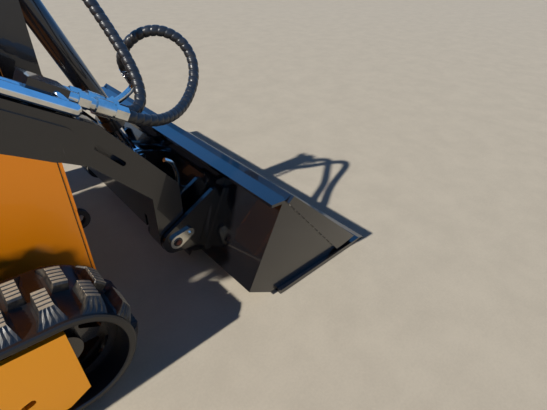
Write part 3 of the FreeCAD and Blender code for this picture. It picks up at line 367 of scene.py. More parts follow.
DUST = (0.36, 0.32, 0.26)
# painted shade: the dull black put on the tub's nose
NOSE_PAINTED_SHADE = (0.008, 0.008, 0.010)
AMBER_COLOUR = (0.95, 0.305, 0.004)
# painted light: a brighter, yellower copy of the amber for the sun and ground bounce that the tracks' covers
# catch
COVER_PAINTED_LIGHT_COLOUR = (1.0, 0.40, 0.004)
AMBER = enamel("amber_enamel", AMBER_COLOUR, roughness=0.36, peel=0.2, dust_amount=0.03, coat=0.3)
# the tub's amber, with painted shade on its nose
AMBER_TUB = enamel("amber_enamel_tub", AMBER_COLOUR, roughness=0.36, peel=0.2, dust_amount=0.05, coat=0.3,
                   nose=0.44)
# the covers' amber, brightened as painted light
AMBER_COVER_PAINTED_LIGHT = enamel("amber_enamel_cover_painted_light", COVER_PAINTED_LIGHT_COLOUR, roughness=0.36, peel=0.2, dust_amount=0.0, coat=0.2)
BLACK = enamel("black_enamel", (0.005, 0.005, 0.007), roughness=0.22, peel=0.2, dust_amount=0.015, coat=0.8)
PANEL = enamel("textured_black", (0.012, 0.012, 0.014), roughness=0.42, peel=1.0, dust_amount=0.05, coat=0.2)
print("paints ready")

# %% [markdown]
# ## Bare metal and rubber
#
# Zinc plating is bright but never a mirror: it has a slight grain and cloudy patches. A
# cylinder's rod is hard chrome with a hair-fine grain. Cast rollers are dull iron.
# Track rubber is black, with dry soil on the tops of its lugs.

# %% Metals, rubber and plastics
def plated(name, colour, roughness, uneven, grain, depth):
    """Bright metal with cloudy patches and a fine grain that runs along X."""
    metal = Finish(name, colour, roughness, metallic=1.0)
    cloud = metal.noise(38.0, 4.0)
    worn = tuple(c * 0.78 for c in colour)
    metal.feed("Base Color", metal.mix(metal.band(cloud, 0.45, 0.75), colour, worn))
    metal.feed("Roughness", metal.noise(90.0, 3.0) * uneven + roughness)
    lines = metal.noise(grain, 2.0, 0.5, metal.stretched((0.2, 1.0, 1.0)))
    metal.feed("Normal", metal.bump(lines, depth, 0.4))
    return metal.material


def rubber(name, colour, pale, roughness):
    """Rubber, plastic or primer, paler in worn patches."""
    skin = Finish(name, colour, roughness)
    worn = skin.band(skin.noise(34.0, 5.0, 0.65), 0.46, 0.72)
    skin.feed("Base Color", skin.mix(worn * 0.6, colour, pale))
    skin.feed("Roughness", worn * 0.2 + roughness)
    skin.feed("Normal", skin.bump(skin.noise(260.0, 4.0), 0.0006, 0.6))
    return skin.material


def tread_rubber():
    """Black rubber, with dry soil on the lugs' tops and a little on their walls."""
    skin = Finish("track_rubber", TRACK_BLACK, 0.36)
    rise = skin.node("ShaderNodeAttribute", {"attribute_name": "rise"}, {}, "Fac")
    patchy = skin.noise(60.0, 5.0, 0.6)
    top = skin.band(rise, 0.93, 0.99) * (patchy * 0.5 + 0.5)
    wall = skin.band(rise, 0.05, 0.5) * skin.band(patchy, 0.35, 0.7) * 0.12
    soil = top * 0.92 + wall * (1.0 - top)
    skin.feed("Base Color", skin.mix(soil, TRACK_BLACK, SOIL))
    skin.feed("Roughness", soil * 0.5 + skin.noise(50.0) * 0.2 + 0.26)
    skin.feed("Normal", skin.bump(skin.noise(300.0, 3.0), 0.0004, 0.4))
    return skin.material


TRACK_BLACK = (0.012, 0.012, 0.013)
SOIL = (0.56, 0.48, 0.36)
ZINC = plated("zinc_plate", (0.74, 0.74, 0.70), 0.17, 0.12, 500.0, 0.00006)
CHROME = plated("hard_chrome", (0.80, 0.80, 0.81), 0.05, 0.05, 1400.0, 0.00002)
TUBE = plated("polished_tube", (0.76, 0.77, 0.76), 0.10, 0.06, 700.0, 0.00002)
IRON = plated("dark_iron", (0.10, 0.10, 0.11), 0.36, 0.2, 300.0, 0.0002)
TREAD = tread_rubber()
FOAM = rubber("pad_skin", (0.016, 0.016, 0.017), (0.03, 0.03, 0.03), 0.5)
# pale scuffed weld metal, partly a painted highlight: the pale colour also stands for the glints on the tack
# welds
WELD_SCUFF_AND_GLINT = rubber("weld_scuff_and_painted_glint", (0.20, 0.19, 0.17), (0.42, 0.40, 0.35), 0.45)
KNOB = rubber("lever_knob", (0.008, 0.008, 0.008), (0.014, 0.014, 0.014), 0.25)

SURFACES = (
    (AMBER_TUB, ("frame_tub",)),
    (AMBER, ("side_panel_right", "side_panel_left", "tower_right", "tower_left", "hood")),
    (AMBER_COVER_PAINTED_LIGHT, ("track_frame_right", "track_frame_left")),
    (BLACK, ("upper_arm_right", "upper_arm_left", "lower_arm_right", "lower_arm_left", "knee_tube",
             "cross_plate", "tilt_bracket", "bucket", "cutting_edge", "attach_plate", "tilt_barrel",
             "lift_barrel_right", "lift_barrel_left", "idler_right", "idler_left", "sprocket_right",
             "sprocket_left", "grab_bar", "platform", "coupler_block")),
    (PANEL, ("console",)),
    (ZINC, ("attach_pins", "arm_pins", "latch_handles", "couplers", "tilt_ports")),
    (TUBE, ("work_tubes",)),
    (CHROME, ("tilt_rod", "lift_rod_right", "lift_rod_left")),
    (IRON, ("engine", "rollers_right", "rollers_left")),
    (FOAM, ("knee_pad",)),
    (KNOB, ("control_levers",)),
)
for material, names in SURFACES:
    dress(material, *names)
print("finishes on", sum(len(names) for _, names in SURFACES), "nodes")

# %% [markdown]
# ## The tracks' tread
#
# A rubber track is moulded in one piece: a flat belt with two rows of lugs that stand half a
# pitch apart. Each lug has five ribs across its top, steep walls, and an outer end that runs
# down to the belt's edge in a fan of ribs, with a scooped hollow on either side. One grid of
# faces is wrapped round the wheels. Its columns fall on the lugs' corners, so a short rule for
# the height at each place makes every wall, rib and hollow, and serves both tracks.

# %% Tread
WHEELS = ((294.0, 150.0, 112.0), (-785.0, 235.0, 105.0), (-655.0, 95.0, 57.0))
BELT = 16.0
TRACK_INNER = 360.0
LUG_PITCH = 72.0
LUG_HIGH = 20.0
PHASES = (0.0, 0.04, 0.08, 0.12, 0.16, 0.215, 0.285, 0.34, 0.38, 0.42, 0.46)
TOP_HALF, FOOT_HALF = 0.16, 0.215
RIBS = 5
RIB_DEEP = 2.0
RIDGE_PITCH, RIDGE_DEEP = 0.08, 2.2
SCOOP_DEEP = 3.5
LUG_ROWS = ((96.0, 88.0, 36.0, 8.0), (84.0, 92.0, 144.0, 172.0))   # foot, top, top's end, fan's foot
BELT_MIDDLE = 90.0
INNER_FAN_ROWS = (2.0, 5.0, 8.0, 17.0, 27.0)
OUTER_FAN_ROWS = (153.0, 163.0, 172.0, 175.0, 178.0)
UNDERSIDE = ((180.0, -4.0), (180.0, -13.0), (178.0, -BELT), (2.0, -BELT), (0.0, -13.0), (0.0, -4.0))


def loop_runs():
    """The belt's inner line as straight runs and arcs round the wheels."""
    angles = []
    for one, two in zip(WHEELS, WHEELS[1:] + WHEELS[:1]):
        away = Vector((two[0] - one[0], two[1] - one[1]))
        lean = math.asin((one[2] - two[2]) / away.length)
        angles.append(math.atan2(away.y, away.x) - math.pi / 2.0 + lean)
    runs = []
    for i, wheel in enumerate(WHEELS):
        start = angles[i - 1]
        turn = (angles[i] - start) % (2.0 * math.pi)
        runs.append(("arc", wheel, start, turn))
        runs.append(("line", wheel, WHEELS[(i + 1) % 3], angles[i]))
    return runs


def run_length(run):
    """How long a run is on the belt's outside."""
    if run[0] == "arc":
        return (run[1][2] + BELT) * run[3]
    return (rim_point(run[2], run[3], 0.0) - rim_point(run[1], run[3], 0.0)).length


def rim_point(wheel, angle, out):
    """A place at an angle round a wheel, and out from its rim."""
    radius = wheel[2] + out
    return Vector((wheel[0] + radius * math.cos(angle), wheel[1] + radius * math.sin(angle)))


def loop_point(runs, distance, out):
    """The place at a distance round the belt, and out from its inner line."""
    for run in runs:
        length = run_length(run)
        if distance <= length:
            share = distance / length
            if run[0] == "arc":
                return rim_point(run[1], run[2] + run[3] * share, out)
            return rim_point(run[1], run[3], out).lerp(rim_point(run[2], run[3], out), share)
        distance -= length
    return loop_point(runs, distance, out)


def rib_rows(start, end):
    """The rows across a lug's top: each rib's two edges and the groove after it, with their depths."""
    pitch = (end - start) / (RIBS - 0.35)
    rows = []
    for i in range(RIBS):
        rows += [(start + pitch * i, 0.0), (start + pitch * (i + 0.5), 0.0)]
        if i < RIBS - 1:
            rows.append((start + pitch * (i + 0.75), RIB_DEEP))
    return rows


def tread_rows():
    """Every row across the belt's outside as (place across, depth of a groove)."""
    inner = rib_rows(LUG_ROWS[0][2], LUG_ROWS[0][1])
    outer = rib_rows(LUG_ROWS[1][1], LUG_ROWS[1][2])
    return ([(across, 0.0) for across in INNER_FAN_ROWS] + inner + [(BELT_MIDDLE, 0.0)] + outer
            + [(across, 0.0) for across in OUTER_FAN_ROWS])


def lug_height(across, away, row, depth):
    """The height above the belt, from how far the place is from the lug's middle, in pitches."""
    foot, top, top_end, fan_foot = row
    sign = 1.0 if top_end > top else -1.0
    end_wall = (across - foot) / (top - foot)
    fan = (across - top_end) * sign / abs(fan_foot - top_end)
    along = (FOOT_HALF - away) / (FOOT_HALF - TOP_HALF)
    if end_wall <= 0.0 or fan >= 1.0:
        return 0.0
    if along <= 0.0:
        reach = min(1.0, max(0.0, (across - top) * sign / abs(fan_foot - top)))
        return -SCOOP_DEEP * math.sin(math.pi * reach) * min(1.0, (away - FOOT_HALF) / 0.05)
    high = LUG_HIGH * min(1.0, end_wall)
    if fan > 0.0:
        ridge = abs(round(away / RIDGE_PITCH) - away / RIDGE_PITCH) * 2.0
        high = LUG_HIGH * (1.0 - fan) ** 0.8 - RIDGE_DEEP * ridge * min(1.0, fan * 4.0)
        return max(0.0, high * min(1.0, along + fan * 0.3))
    return (high - depth * min(1.0, end_wall)) * min(1.0, along)


def fanned(away, across, row):
    """Where a column lies once the fan at a lug's outer end has spread it, in pitches."""
    sign = 1.0 if row[2] > row[1] else -1.0
    fan = min(1.0, max(0.0, (across - row[2]) * sign / abs(row[3] - row[2])))
    wide = TOP_HALF * (1.0 + fan)
    if away <= TOP_HALF:
        return away * wide / TOP_HALF
    return wide + (away - TOP_HALF) * (0.5 - wide) / (0.5 - TOP_HALF)


def tread(name, side, material):
    """One track: a closed grid, bent round the loop, with each vertex set out by the lugs' heights."""
    runs = loop_runs()
    total = sum(run_length(run) for run in runs)
    cells = round(total / LUG_PITCH)
    pitch = total / cells
    columns = [half + phase for half in (0.0, 0.5) for phase in PHASES]
    rows = tread_rows()
    count = len(rows) + len(UNDERSIDE)
    bm = bmesh.new()
    bmesh.ops.create_grid(bm, x_segments=cells * len(columns), y_segments=count, size=0.5)
    rise = bm.verts.layers.float.new("rise")
    for v in bm.verts:
        i = round((v.co.x + 0.5) * cells * len(columns)) % (cells * len(columns))
        j = round((v.co.y + 0.5) * count) % count
        phase = columns[i % len(columns)]
        if j < len(rows):
            across, depth = rows[j]
            outer = across > BELT_MIDDLE
            row = LUG_ROWS[1 if outer else 0]
            centre = 0.5 if outer else (0.0 if phase <= 0.5 else 1.0)
            away = abs(phase - centre)
            out = lug_height(across, away, row, depth)
            spread = fanned(away, across, row)
            phase = centre + (spread if phase >= centre else -spread)
        else:
            across, out = UNDERSIDE[j - len(rows)]
        spot = loop_point(runs, ((i // len(columns) + phase) * pitch) % total, BELT + out)
        v[rise] = out / LUG_HIGH
        v.co = (spot.x * MM, side * (TRACK_INNER + across) * MM, spot.y * MM)
    bmesh.ops.remove_doubles(bm, verts=bm.verts, dist=2e-6)
    piece = finished(name, bm, material, "chassis")
    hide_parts(name.replace("_tread", ""))
    print(name, "lugs in a row", cells, "faces", len(piece.data.polygons))


for side, name in ((RIGHT, "track_right_tread"), (LEFT, "track_left_tread")):
    tread(name, side, TREAD)

# %% [markdown]
# ## Bolts, pin heads and hub caps
#
# Every pin of the machine is held by something: a hex bolt, a round head, a cap. Each is a stack
# of short turned steps on one axis, so one function makes a step with a rounded rim, and a table
# says which stack stands where. All the fasteners of one body and finish are a single mesh.

# %% Turned steps
def standing(place, axis):
    """The frame of a turned piece: its own Z points along the axis, from the face it sits on."""
    return Matrix.Translation(place) @ Vector(axis).to_track_quat("Z", "Y").to_matrix().to_4x4()


def drum(bm, stand, radius, low, high, sides=28, rounding=0.0):
    """One step between two heights, with its outer rim rounded."""
    middle = stand @ Matrix.Translation((0.0, 0.0, (low + high) / 2.0))
    made = bmesh.ops.create_cone(bm, cap_ends=True, segments=sides, radius1=radius, radius2=radius,
                                 depth=high - low, matrix=middle)
    if rounding:
        back = stand.inverted()
        rim = {v for v in made["verts"] if (back @ v.co).z > high - 1e-5}
        edges = [e for e in bm.edges if e.verts[0] in rim and e.verts[1] in rim]
        bmesh.ops.bevel(bm, geom=edges, offset=rounding, segments=2, profile=0.5,
                        affect="EDGES", material=-1)


# each step is (radius, low, high, sides, rounding) as shares of the fastener's size
STACKS = {
    "hex": ((1.05, 0.0, 0.14, 28, 0.04), (0.86, 0.14, 0.78, 6, 0.10), (0.42, 0.78, 0.86, 20, 0.03)),
    "head": ((1.0, 0.0, 0.32, 32, 0.08), (0.34, 0.32, 0.38, 20, 0.03)),
    "collar": ((1.0, 0.0, 0.16, 32, 0.05),),
    "bolt": ((0.62, 0.16, 0.42, 6, 0.05), (0.34, 0.42, 0.47, 20, 0.02)),
    "cap": ((1.0, 0.0, 0.22, 36, 0.08), (0.62, 0.22, 0.36, 28, 0.10)),
}

# %% [markdown]
# The rows give a stack, its size in metres and where it stands on the left side: each one is made
# again on the right. The sprockets' hubs have a ring of small bolts round a cap.

# %% Fastener table
PRIMER = rubber("bolt_primer", (0.105, 0.030, 0.018), (0.17, 0.07, 0.04), 0.45)
PIVOT = (0.651, 0.323, 0.136)
SPROCKET_HUB, IDLER_HUB = (-0.785, 0.488, 0.235), (0.294, 0.488, 0.150)
RING_RADIUS, RING_BOLT, RING_COUNT = 0.027, 0.0062, 6


def hub_ring(hub):
    """The small bolts round a hub."""
    rows = []
    for i in range(RING_COUNT):
        angle = 2.0 * math.pi * (i + 0.5) / RING_COUNT
        x, z = hub[0] + RING_RADIUS * math.cos(angle), hub[2] + RING_RADIUS * math.sin(angle)
        rows.append(("hex", RING_BOLT, (x, hub[1], z)))
    return rows


FASTENERS = (
    ("flag_collars", "attachment", BLACK, "black_paint", [("collar", 0.0135, PIVOT)]),
    ("flag_bolts", "attachment", PRIMER, "dark_iron", [("bolt", 0.0135, PIVOT)]),
    ("flag_end_bolts", "attachment", ZINC, "zinc", [("hex", 0.0055, (0.691, PIVOT[1], 0.150))]),
    ("tilt_pin_heads", "attachment", ZINC, "zinc", [("head", 0.016, (0.708, 0.033, 0.262))]),
    ("arm_pin_heads", "arms", ZINC, "zinc",
     [("head", 0.018, (-0.190, 0.370, 0.751)), ("head", 0.015, (0.488, 0.048, 0.800))]),
    ("chassis_bolts", "chassis", ZINC, "zinc",
     [("hex", 0.017, (-0.425, 0.384, 1.024)), ("cap", 0.022, (-0.675, 0.3715, 0.450)),
      ("cap", 0.017, SPROCKET_HUB)] + hub_ring(SPROCKET_HUB)),
    ("idler_caps", "chassis", BLACK, "black_paint", [("cap", 0.017, IDLER_HUB)]),
)


def fastener(bm, kind, size, place, side):
    """One stack of turned steps that stands outwards on a side."""
    stand = standing((place[0], side * place[1], place[2]), (0.0, side, 0.0))
    for radius, low, high, sides, rounding in STACKS[kind]:
        drum(bm, stand, radius * size, low * size, high * size, sides, rounding * size)


for name, body, material, slot, rows in FASTENERS:
    bm = bmesh.new()
    for kind, size, place in rows:
        for side in (RIGHT, LEFT):
            fastener(bm, kind, size, place, side)
    piece = finished(name, bm, material, body)
    print(name, "faces", len(piece.data.polygons))

# %% [markdown]
# ## Pipes, ferrules and weld beads
#
# A polished pipe leaves the manifold and bends down to the thick tube on the arm. It is wrapped
# round a NURBS line like the hoses. Each hose ends in a pressed ferrule with three rings. Where
# plates are welded, a bead of molten metal has set in small ripples: a thin wrapped tube whose
# radius rises and falls, half sunk in the corner.

# %% Pipes and welds
ARM_END = Vector((0.503, 0.0, 0.538))
ARM_BACKWARD = Vector((-0.8541, 0.0, 0.5200))
ARM_UPWARD = Vector((0.5200, 0.0, 0.8541))
PIPE_ROUTE = ((78, 30, -334), (76, 30, -341), (71, 28, -347), (63, 24, -351), (55, 18, -353),
              (48, 13, -354), (44, 11, -354))
PIPE_RADIUS = 5.6 * MM
FERRULE_STEPS = ((0.0, 6.0, 14.6), (6.0, 9.0, 13.9), (9.0, 15.0, 14.8), (15.0, 18.0, 13.9),
                 (18.0, 24.0, 14.6))     # from, to, radius
FERRULE_AIM = 16       # steps of the hose's line that a ferrule is straight over
BEAD_STEP = 0.9 * MM
BEAD_SIDES = 8


def on_arm(back, above, y):
    """A place on the arms, from the far end of the arm's top face, in millimetres."""
    return ARM_END + ARM_BACKWARD * (back * MM) + ARM_UPWARD * (above * MM) + Vector((0.0, y * MM, 0.0))


def elbow_pipe():
    route = [on_arm(*spot) for spot in PIPE_ROUTE]
    line, _ = evenly(route_points("elbow_pipe", route), 2.0 * MM)
    bm = bmesh.new()
    wrapped(bm, line, ROUND_SIDES, lambda i, share: PIPE_RADIUS)
    smooth_walls(bm)
    finished("elbow_pipe", bm, TUBE, "arms")


def ferrules():
    bm = bmesh.new()
    for line in HOSE_LINES:
        stand = standing(line[-2], line[-2 - FERRULE_AIM] - line[-2])
        for low, high, radius in FERRULE_STEPS:
            drum(bm, stand, radius * MM, low * MM, high * MM, rounding=0.8 * MM)
    finished("hose_ferrules", bm, ZINC, "arms")


def ripple(i):
    """How much thicker or thinner a weld is at a step along it."""
    return 1.0 + 0.16 * math.sin(i * 1.3)


def bead(bm, start, end, radius):
    """A rippled weld along a straight seam, thinner at both ends."""
    line, _ = evenly([start, end], BEAD_STEP)
    last = len(line) - 1
    wrapped(bm, line, BEAD_SIDES,
            lambda i, share: radius * min(1.0, 0.35 + i / 3.0, 0.35 + (last - i) / 3.0) * ripple(i))


def ring_bead(bm, centre, radius, thick):
    """A rippled weld round a tube that lies across the machine."""
    count = round(2.0 * math.pi * radius / BEAD_STEP)
    turns = [2.0 * math.pi * i / count for i in range(count + 1)]
    line = [centre + Vector((math.cos(turn), 0.0, math.sin(turn))) * radius for turn in turns]
    wrapped(bm, line, BEAD_SIDES, lambda i, share: thick * ripple(i))


SEAM_TOP, SEAM_FOOT = Vector((0.842, 0.550, 0.308)), Vector((1.075, 0.550, 0.030))
TACKS = 11
TACK_LONG = 0.028      # as a share of the seam
TACK_RADIUS = 1.6 * MM
KNEE_X, KNEE_Z = 0.503, 0.470
KNEE_RINGS = ((31.5, 38.0, 3.0), (48.5, 38.0, 3.0), (239.0, 38.5, 3.4))   # place across, radius, thickness


def mirrored_beads(name, body, material, make):
    bm = bmesh.new()
    for side in (RIGHT, LEFT):
        make(bm, side)
    piece = finished(name, bm, material, body)
    print(name, "faces", len(piece.data.polygons))


def tack_welds(bm, side):
    seam = SEAM_FOOT - SEAM_TOP
    for i in range(TACKS):
        start = SEAM_TOP + seam * ((i + 0.5) / TACKS)
        end = start + seam * TACK_LONG
        bead(bm, *(Vector((spot.x, side * spot.y, spot.z)) for spot in (start, end)), TACK_RADIUS)


def knee_welds(bm, side):
    for across, radius, thick in KNEE_RINGS:
        ring_bead(bm, Vector((KNEE_X, side * across * MM, KNEE_Z)), radius * MM, thick * MM)


elbow_pipe()
ferrules()
# the tack welds are pale, partly as painted highlight
mirrored_beads("bucket_tacks", "attachment", WELD_SCUFF_AND_GLINT, tack_welds)
mirrored_beads("knee_welds", "arms", BLACK, knee_welds)

# %% [markdown]
# ## Where the operator stands
#
# The knee pad is foam under a stitched skin: crowned in the middle, drawn in along two sewn
# channels, with its sides pulled in between the corners. A cube is divided into a fine cage, and
# each vertex moves by a rule that reads like a sewing pattern. Round piping follows its front seam.

# %% Knee pad
PAD_HALF_WIDE, PAD_HALF_HIGH, PAD_THICK = 0.200, 0.130, 0.040
PAD_BACK = -0.865
PAD_MIDDLE = 0.830
CHANNELS = (-0.38, 0.38)     # heights of the sewn channels, as shares of the half height
CHANNEL_DEEP, CHANNEL_WIDE = 0.30, 0.045
CAGE_CUTS = 39
THIN_EDGE = 0.52             # the pad's thickness at its edge, as a share of the middle's
PIPING_PLACES = 160
PIPING_RADIUS = 2.6 * MM
PIPING_BEHIND = 18.0 * MM
PIPING_SQUARE = 0.22         # the smaller, the squarer the loop's corners


def knee_pad():
    bm = bmesh.new()
    bmesh.ops.create_cube(bm, size=2.0)
    bmesh.ops.subdivide_edges(bm, edges=bm.edges[:], cuts=CAGE_CUTS, use_grid_fill=True)
    for v in bm.verts:
        depth, wide, high = (-v.co.x + 1.0) / 2.0, v.co.y, v.co.z
        edge = (1.0 - abs(wide) ** 5) * (1.0 - abs(high) ** 4)
        crown = THIN_EDGE + (1.0 - THIN_EDGE) * edge ** 0.45
        for channel in CHANNELS:
            crown -= CHANNEL_DEEP * math.exp(-((high - channel) / CHANNEL_WIDE) ** 2) * (1.0 - abs(wide) ** 8)
        pinch_wide = 1.0 - 0.022 * (1.0 - high * high) - 0.035 * abs(depth - 0.5)
        pinch_high = 1.0 - 0.030 * (1.0 - wide * wide) - 0.045 * abs(depth - 0.5)
        corner = max(0.0, (wide * wide + high * high - 1.35)) * 0.06
        v.co = (PAD_BACK - PAD_THICK * 0.985 * depth * crown,
                PAD_HALF_WIDE * wide * (pinch_wide - corner),
                PAD_MIDDLE + PAD_HALF_HIGH * high * (pinch_high - corner))
    bmesh.ops.smooth_vert(bm, verts=bm.verts, factor=0.5, use_axis_x=True, use_axis_y=True, use_axis_z=True)
    for face in bm.faces:
        face.smooth = True
    piece = finished("knee_pad_cushion", bm, FOAM, "chassis")
    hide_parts("knee_pad")
    print("knee pad faces", len(piece.data.polygons))


def pad_piping():
    """The round piping sewn along the pad's front seam."""
    loop = []
    for i in range(PIPING_PLACES):
        angle = 2.0 * math.pi * i / (PIPING_PLACES - 1)
        wide, high = [math.copysign(abs(v) ** PIPING_SQUARE, v) for v in (math.cos(angle), math.sin(angle))]
        loop.append(Vector((PAD_BACK - PIPING_BEHIND, PAD_HALF_WIDE * 0.965 * wide,
                            PAD_MIDDLE + PAD_HALF_HIGH * 0.955 * high)))
    line, _ = evenly(loop, 4.0 * MM)
    bm = bmesh.new()
    wrapped(bm, line, 8, lambda i, share: PIPING_RADIUS)
    finished("knee_pad_piping", bm, KNOB, "chassis")


knee_pad()
pad_piping()

# %% [markdown]
# ## The control top
#
# The top slopes back towards the operator. A bellows boot of five rings closes the slot of each
# lever, and in front of them sit two plain gauges and a key switch.

# %% Console
TOP_FRONT = Vector((-0.565, 0.0, 1.160))
TOP_DOWN = Vector((-0.9558, 0.0, -0.2941))
TOP_NORMAL = Vector((-0.2941, 0.0, 0.9558))
LEVER_DOWN, LEVER_SIDES = 0.1151, (-0.120, -0.060, 0.060, 0.120)
BOOT_RADII = (0.0210, 0.0185, 0.0160, 0.0135, 0.0110)
BOOT_STEP, BOOT_OVERLAP = 0.0036, 0.0003
GAUGE_DOWN, GAUGE_SIDES = 0.050, (-0.045, 0.045)
GAUGE_MARKS = 9
FIRST_MARK, MARK_APART, NEEDLE_AT = -120.0, 30.0, 50.0     # degrees round a gauge
BEZEL = (0.0270, 0.0, 0.0060, 40, 0.0018)                  # radius, low, high, sides, rounding
GAUGE_FACE = (0.0220, 0.0060, 0.0066, 40)
MARK_PLACE, MARK_SIZE = (0.0, 0.0180, 0.0067), (0.0011, 0.0042, 0.0006)
NEEDLE_PLACE, NEEDLE_SIZE = (0.0, 0.0070, 0.0070), (0.0014, 0.0170, 0.0008)
KEY_DOWN, KEY_SIDE = 0.055, 0.190
KEY_STEPS = ((0.0150, 0.0, 0.0050, 32, 0.0015), (0.0100, 0.0050, 0.0110, 28, 0.0012))
KEY_PLACE, KEY_SIZE = (0.0, 0.0, 0.0170), (0.0024, 0.0180, 0.0140)
DIAL = rubber("dial_face", (0.55, 0.55, 0.53), (0.62, 0.62, 0.60), 0.35)


def on_console(down, y):
    """The frame of a piece that stands on the sloping control top."""
    return standing(TOP_FRONT + TOP_DOWN * down + Vector((0.0, y, 0.0)), TOP_NORMAL)


def boots():
    bm = bmesh.new()
    for y in LEVER_SIDES:
        stand = on_console(LEVER_DOWN, y)
        for i, radius in enumerate(BOOT_RADII):
            drum(bm, stand, radius, BOOT_STEP * i, BOOT_STEP * (i + 1) + BOOT_OVERLAP, rounding=1.5 * MM)
    finished("lever_boots", bm, KNOB, "chassis")


def slab(bm, stand, middle, size):
    """A small box at a place on a stand."""
    place = stand @ Matrix.Translation(middle) @ Matrix.Diagonal((*size, 1.0))
    bmesh.ops.create_cube(bm, size=1.0, matrix=place)


def gauges():
    bezel, face, marks = bmesh.new(), bmesh.new(), bmesh.new()
    for y in GAUGE_SIDES:
        stand = on_console(GAUGE_DOWN, y)
        drum(bezel, stand, *BEZEL)
        drum(face, stand, *GAUGE_FACE)
        for i in range(GAUGE_MARKS):
            turn = stand @ Matrix.Rotation(math.radians(FIRST_MARK + MARK_APART * i), 4, "Z")
            slab(marks, turn, MARK_PLACE, MARK_SIZE)
        needle = stand @ Matrix.Rotation(math.radians(NEEDLE_AT), 4, "Z")
        slab(marks, needle, NEEDLE_PLACE, NEEDLE_SIZE)
    stand = on_console(KEY_DOWN, KEY_SIDE)
    for step in KEY_STEPS:
        drum(bezel, stand, *step)
    slab(bezel, stand, KEY_PLACE, KEY_SIZE)
    finished("gauge_bezels", bezel, KNOB, "chassis")
    finished("gauge_faces", face, DIAL, "chassis")
    finished("gauge_marks", marks, KNOB, "chassis")


boots()
gauges()
print("console pieces made")

# %% [markdown]
# ## The seam of the side panels
#
# A thin dark strip, two millimetres wide, runs down each side just behind the panel's front edge:
# painted shade for the gap at the panel's folded front flange.

# %% Panel seams
SEAM_PLACE = (0.4262, 0.3029, 0.312)
SEAM_SIZE = (0.0022, 0.0006, 0.316)


def panel_seam_shade_strips():
    bm = bmesh.new()
    for side in (RIGHT, LEFT):
        # painted shade: a thin black strip for the shaded gap behind the panel's front edge
        slab(bm, Matrix.Identity(4), (SEAM_PLACE[0], side * SEAM_PLACE[1], SEAM_PLACE[2]), SEAM_SIZE)
    piece = finished("panel_seam_shade_strips", bm, KNOB, "chassis")
    print("panel seams faces", len(piece.data.polygons))


panel_seam_shade_strips()

# %% [markdown]
# ## Floor and light
#
# The floor is plain and pale. The sun stands behind the machine, so that shadows fall ahead of it.
# Gloss paint mirrors a blue sky that is paler near the horizon, while the light that fills the
# shadows comes from a much dimmer sky. The camera sees a plain pale background. Three weak
# lamps near the horizon stand for the sunlight that the ground throws back at the machine's
# sides and front. They light the walls, but they aren't mirrored.

# %% Floor, world and lamps
FLOOR_COLOUR = (0.53, 0.475, 0.385)
SUN_FROM = Vector((-0.78, 0.03, 0.62))
ZENITH = (0.08, 0.30, 0.74)
HORIZON = (0.44, 0.58, 0.76)
SKY_LIGHT = (0.010, 0.040, 0.110)
PALE = (0.86, 0.87, 0.88)
HAZE_TOP = 0.16           # how high the pale band above the horizon reaches
FLOOR_HALF = 14.0
FLOOR_LOW = -0.0005       # just below the tracks, so that the two never share a plane


def make_floor():
    bm = bmesh.new()
    bmesh.ops.create_grid(bm, x_segments=1, y_segments=1, size=FLOOR_HALF,
                          matrix=Matrix.Translation((0.0, 0.0, FLOOR_LOW)))
    mesh = bpy.data.meshes.new("floor")
    bm.to_mesh(mesh)
    bm.free()
    floor = bpy.data.objects.new("floor", mesh)
    bpy.context.scene.collection.objects.link(floor)
    ground = Finish("floor", FLOOR_COLOUR, 0.9)
    grain = ground.noise(7.0, 6.0, 0.7) * 0.7 + ground.noise(160.0, 2.0) * 0.3
    patches = ground.band(grain, 0.3, 0.7)
    ground.feed("Base Color", ground.mix(patches, (0.50, 0.447, 0.362), (0.57, 0.512, 0.416)))
    mesh.materials.append(ground.material)


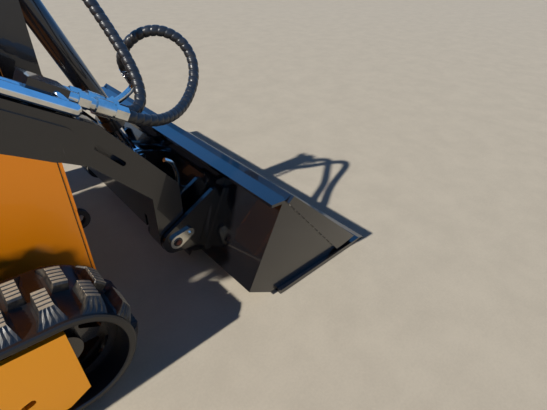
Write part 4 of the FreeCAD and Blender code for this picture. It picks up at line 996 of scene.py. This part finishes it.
def make_world():
    """A blue sky to mirror, a dim one for the light, and a pale one behind the machine."""
    world = bpy.data.worlds.new("sky")
    bpy.context.scene.world = world
    world.use_nodes = True
    tree = world.node_tree

    def mix(factor, one, two):
        made = tree.nodes.new("ShaderNodeMix")
        made.data_type = "RGBA"
        tree.links.new(factor, made.inputs[0])
        for socket, value in ((made.inputs[6], one), (made.inputs[7], two)):
            if isinstance(value, tuple):
                socket.default_value = (*value, 1.0)
            else:
                tree.links.new(value, socket)
        return made.outputs[2]

    place = tree.nodes.new("ShaderNodeTexCoord")
    parts = tree.nodes.new("ShaderNodeSeparateXYZ")
    climb = tree.nodes.new("ShaderNodeMapRange")
    climb.interpolation_type = "SMOOTHSTEP"
    climb.inputs["From Min"].default_value = 0.0
    climb.inputs["From Max"].default_value = HAZE_TOP
    tree.links.new(place.outputs["Generated"], parts.inputs[0])
    tree.links.new(parts.outputs["Z"], climb.inputs["Value"])
    path = tree.nodes.new("ShaderNodeLightPath")
    mirrored = mix(climb.outputs[0], HORIZON, ZENITH)
    lit = mix(path.outputs["Is Glossy Ray"], SKY_LIGHT, mirrored)
    seen = mix(path.outputs["Is Camera Ray"], lit, PALE)
    tree.links.new(seen, tree.nodes["Background"].inputs["Color"])


def make_lamp(name, source, energy, angle, colour, mirrored):
    lamp = bpy.data.lights.new(name, "SUN")
    lamp.energy = energy
    lamp.angle = math.radians(angle)
    lamp.color = colour
    holder = bpy.data.objects.new(name, lamp)
    holder.rotation_mode = "QUATERNION"
    holder.rotation_quaternion = source.to_track_quat("Z", "Y")
    holder.visible_glossy = mirrored
    bpy.context.scene.collection.objects.link(holder)


# name, where the light comes from, energy, angle, colour, whether paint mirrors it
LAMPS = (
    ("sun", SUN_FROM, 4.2, 1.0, (1.0, 0.955, 0.87), True),
    ("fill_right", Vector((0.1, -1.0, 0.0)), 1.75, 18.0, (1.0, 0.90, 0.70), False),
    ("fill_left", Vector((0.2, 1.0, 0.0)), 1.0, 18.0, (1.0, 0.94, 0.86), False),
    ("fill_front", Vector((1.0, 0.2, 0.0)), 0.6, 18.0, (1.0, 0.95, 0.90), False),
)
make_floor()
make_world()
for lamp in LAMPS:
    make_lamp(*lamp)
bpy.context.scene.view_settings.view_transform = "Standard"
print("floor, sky and", len(LAMPS), "lamps ready")
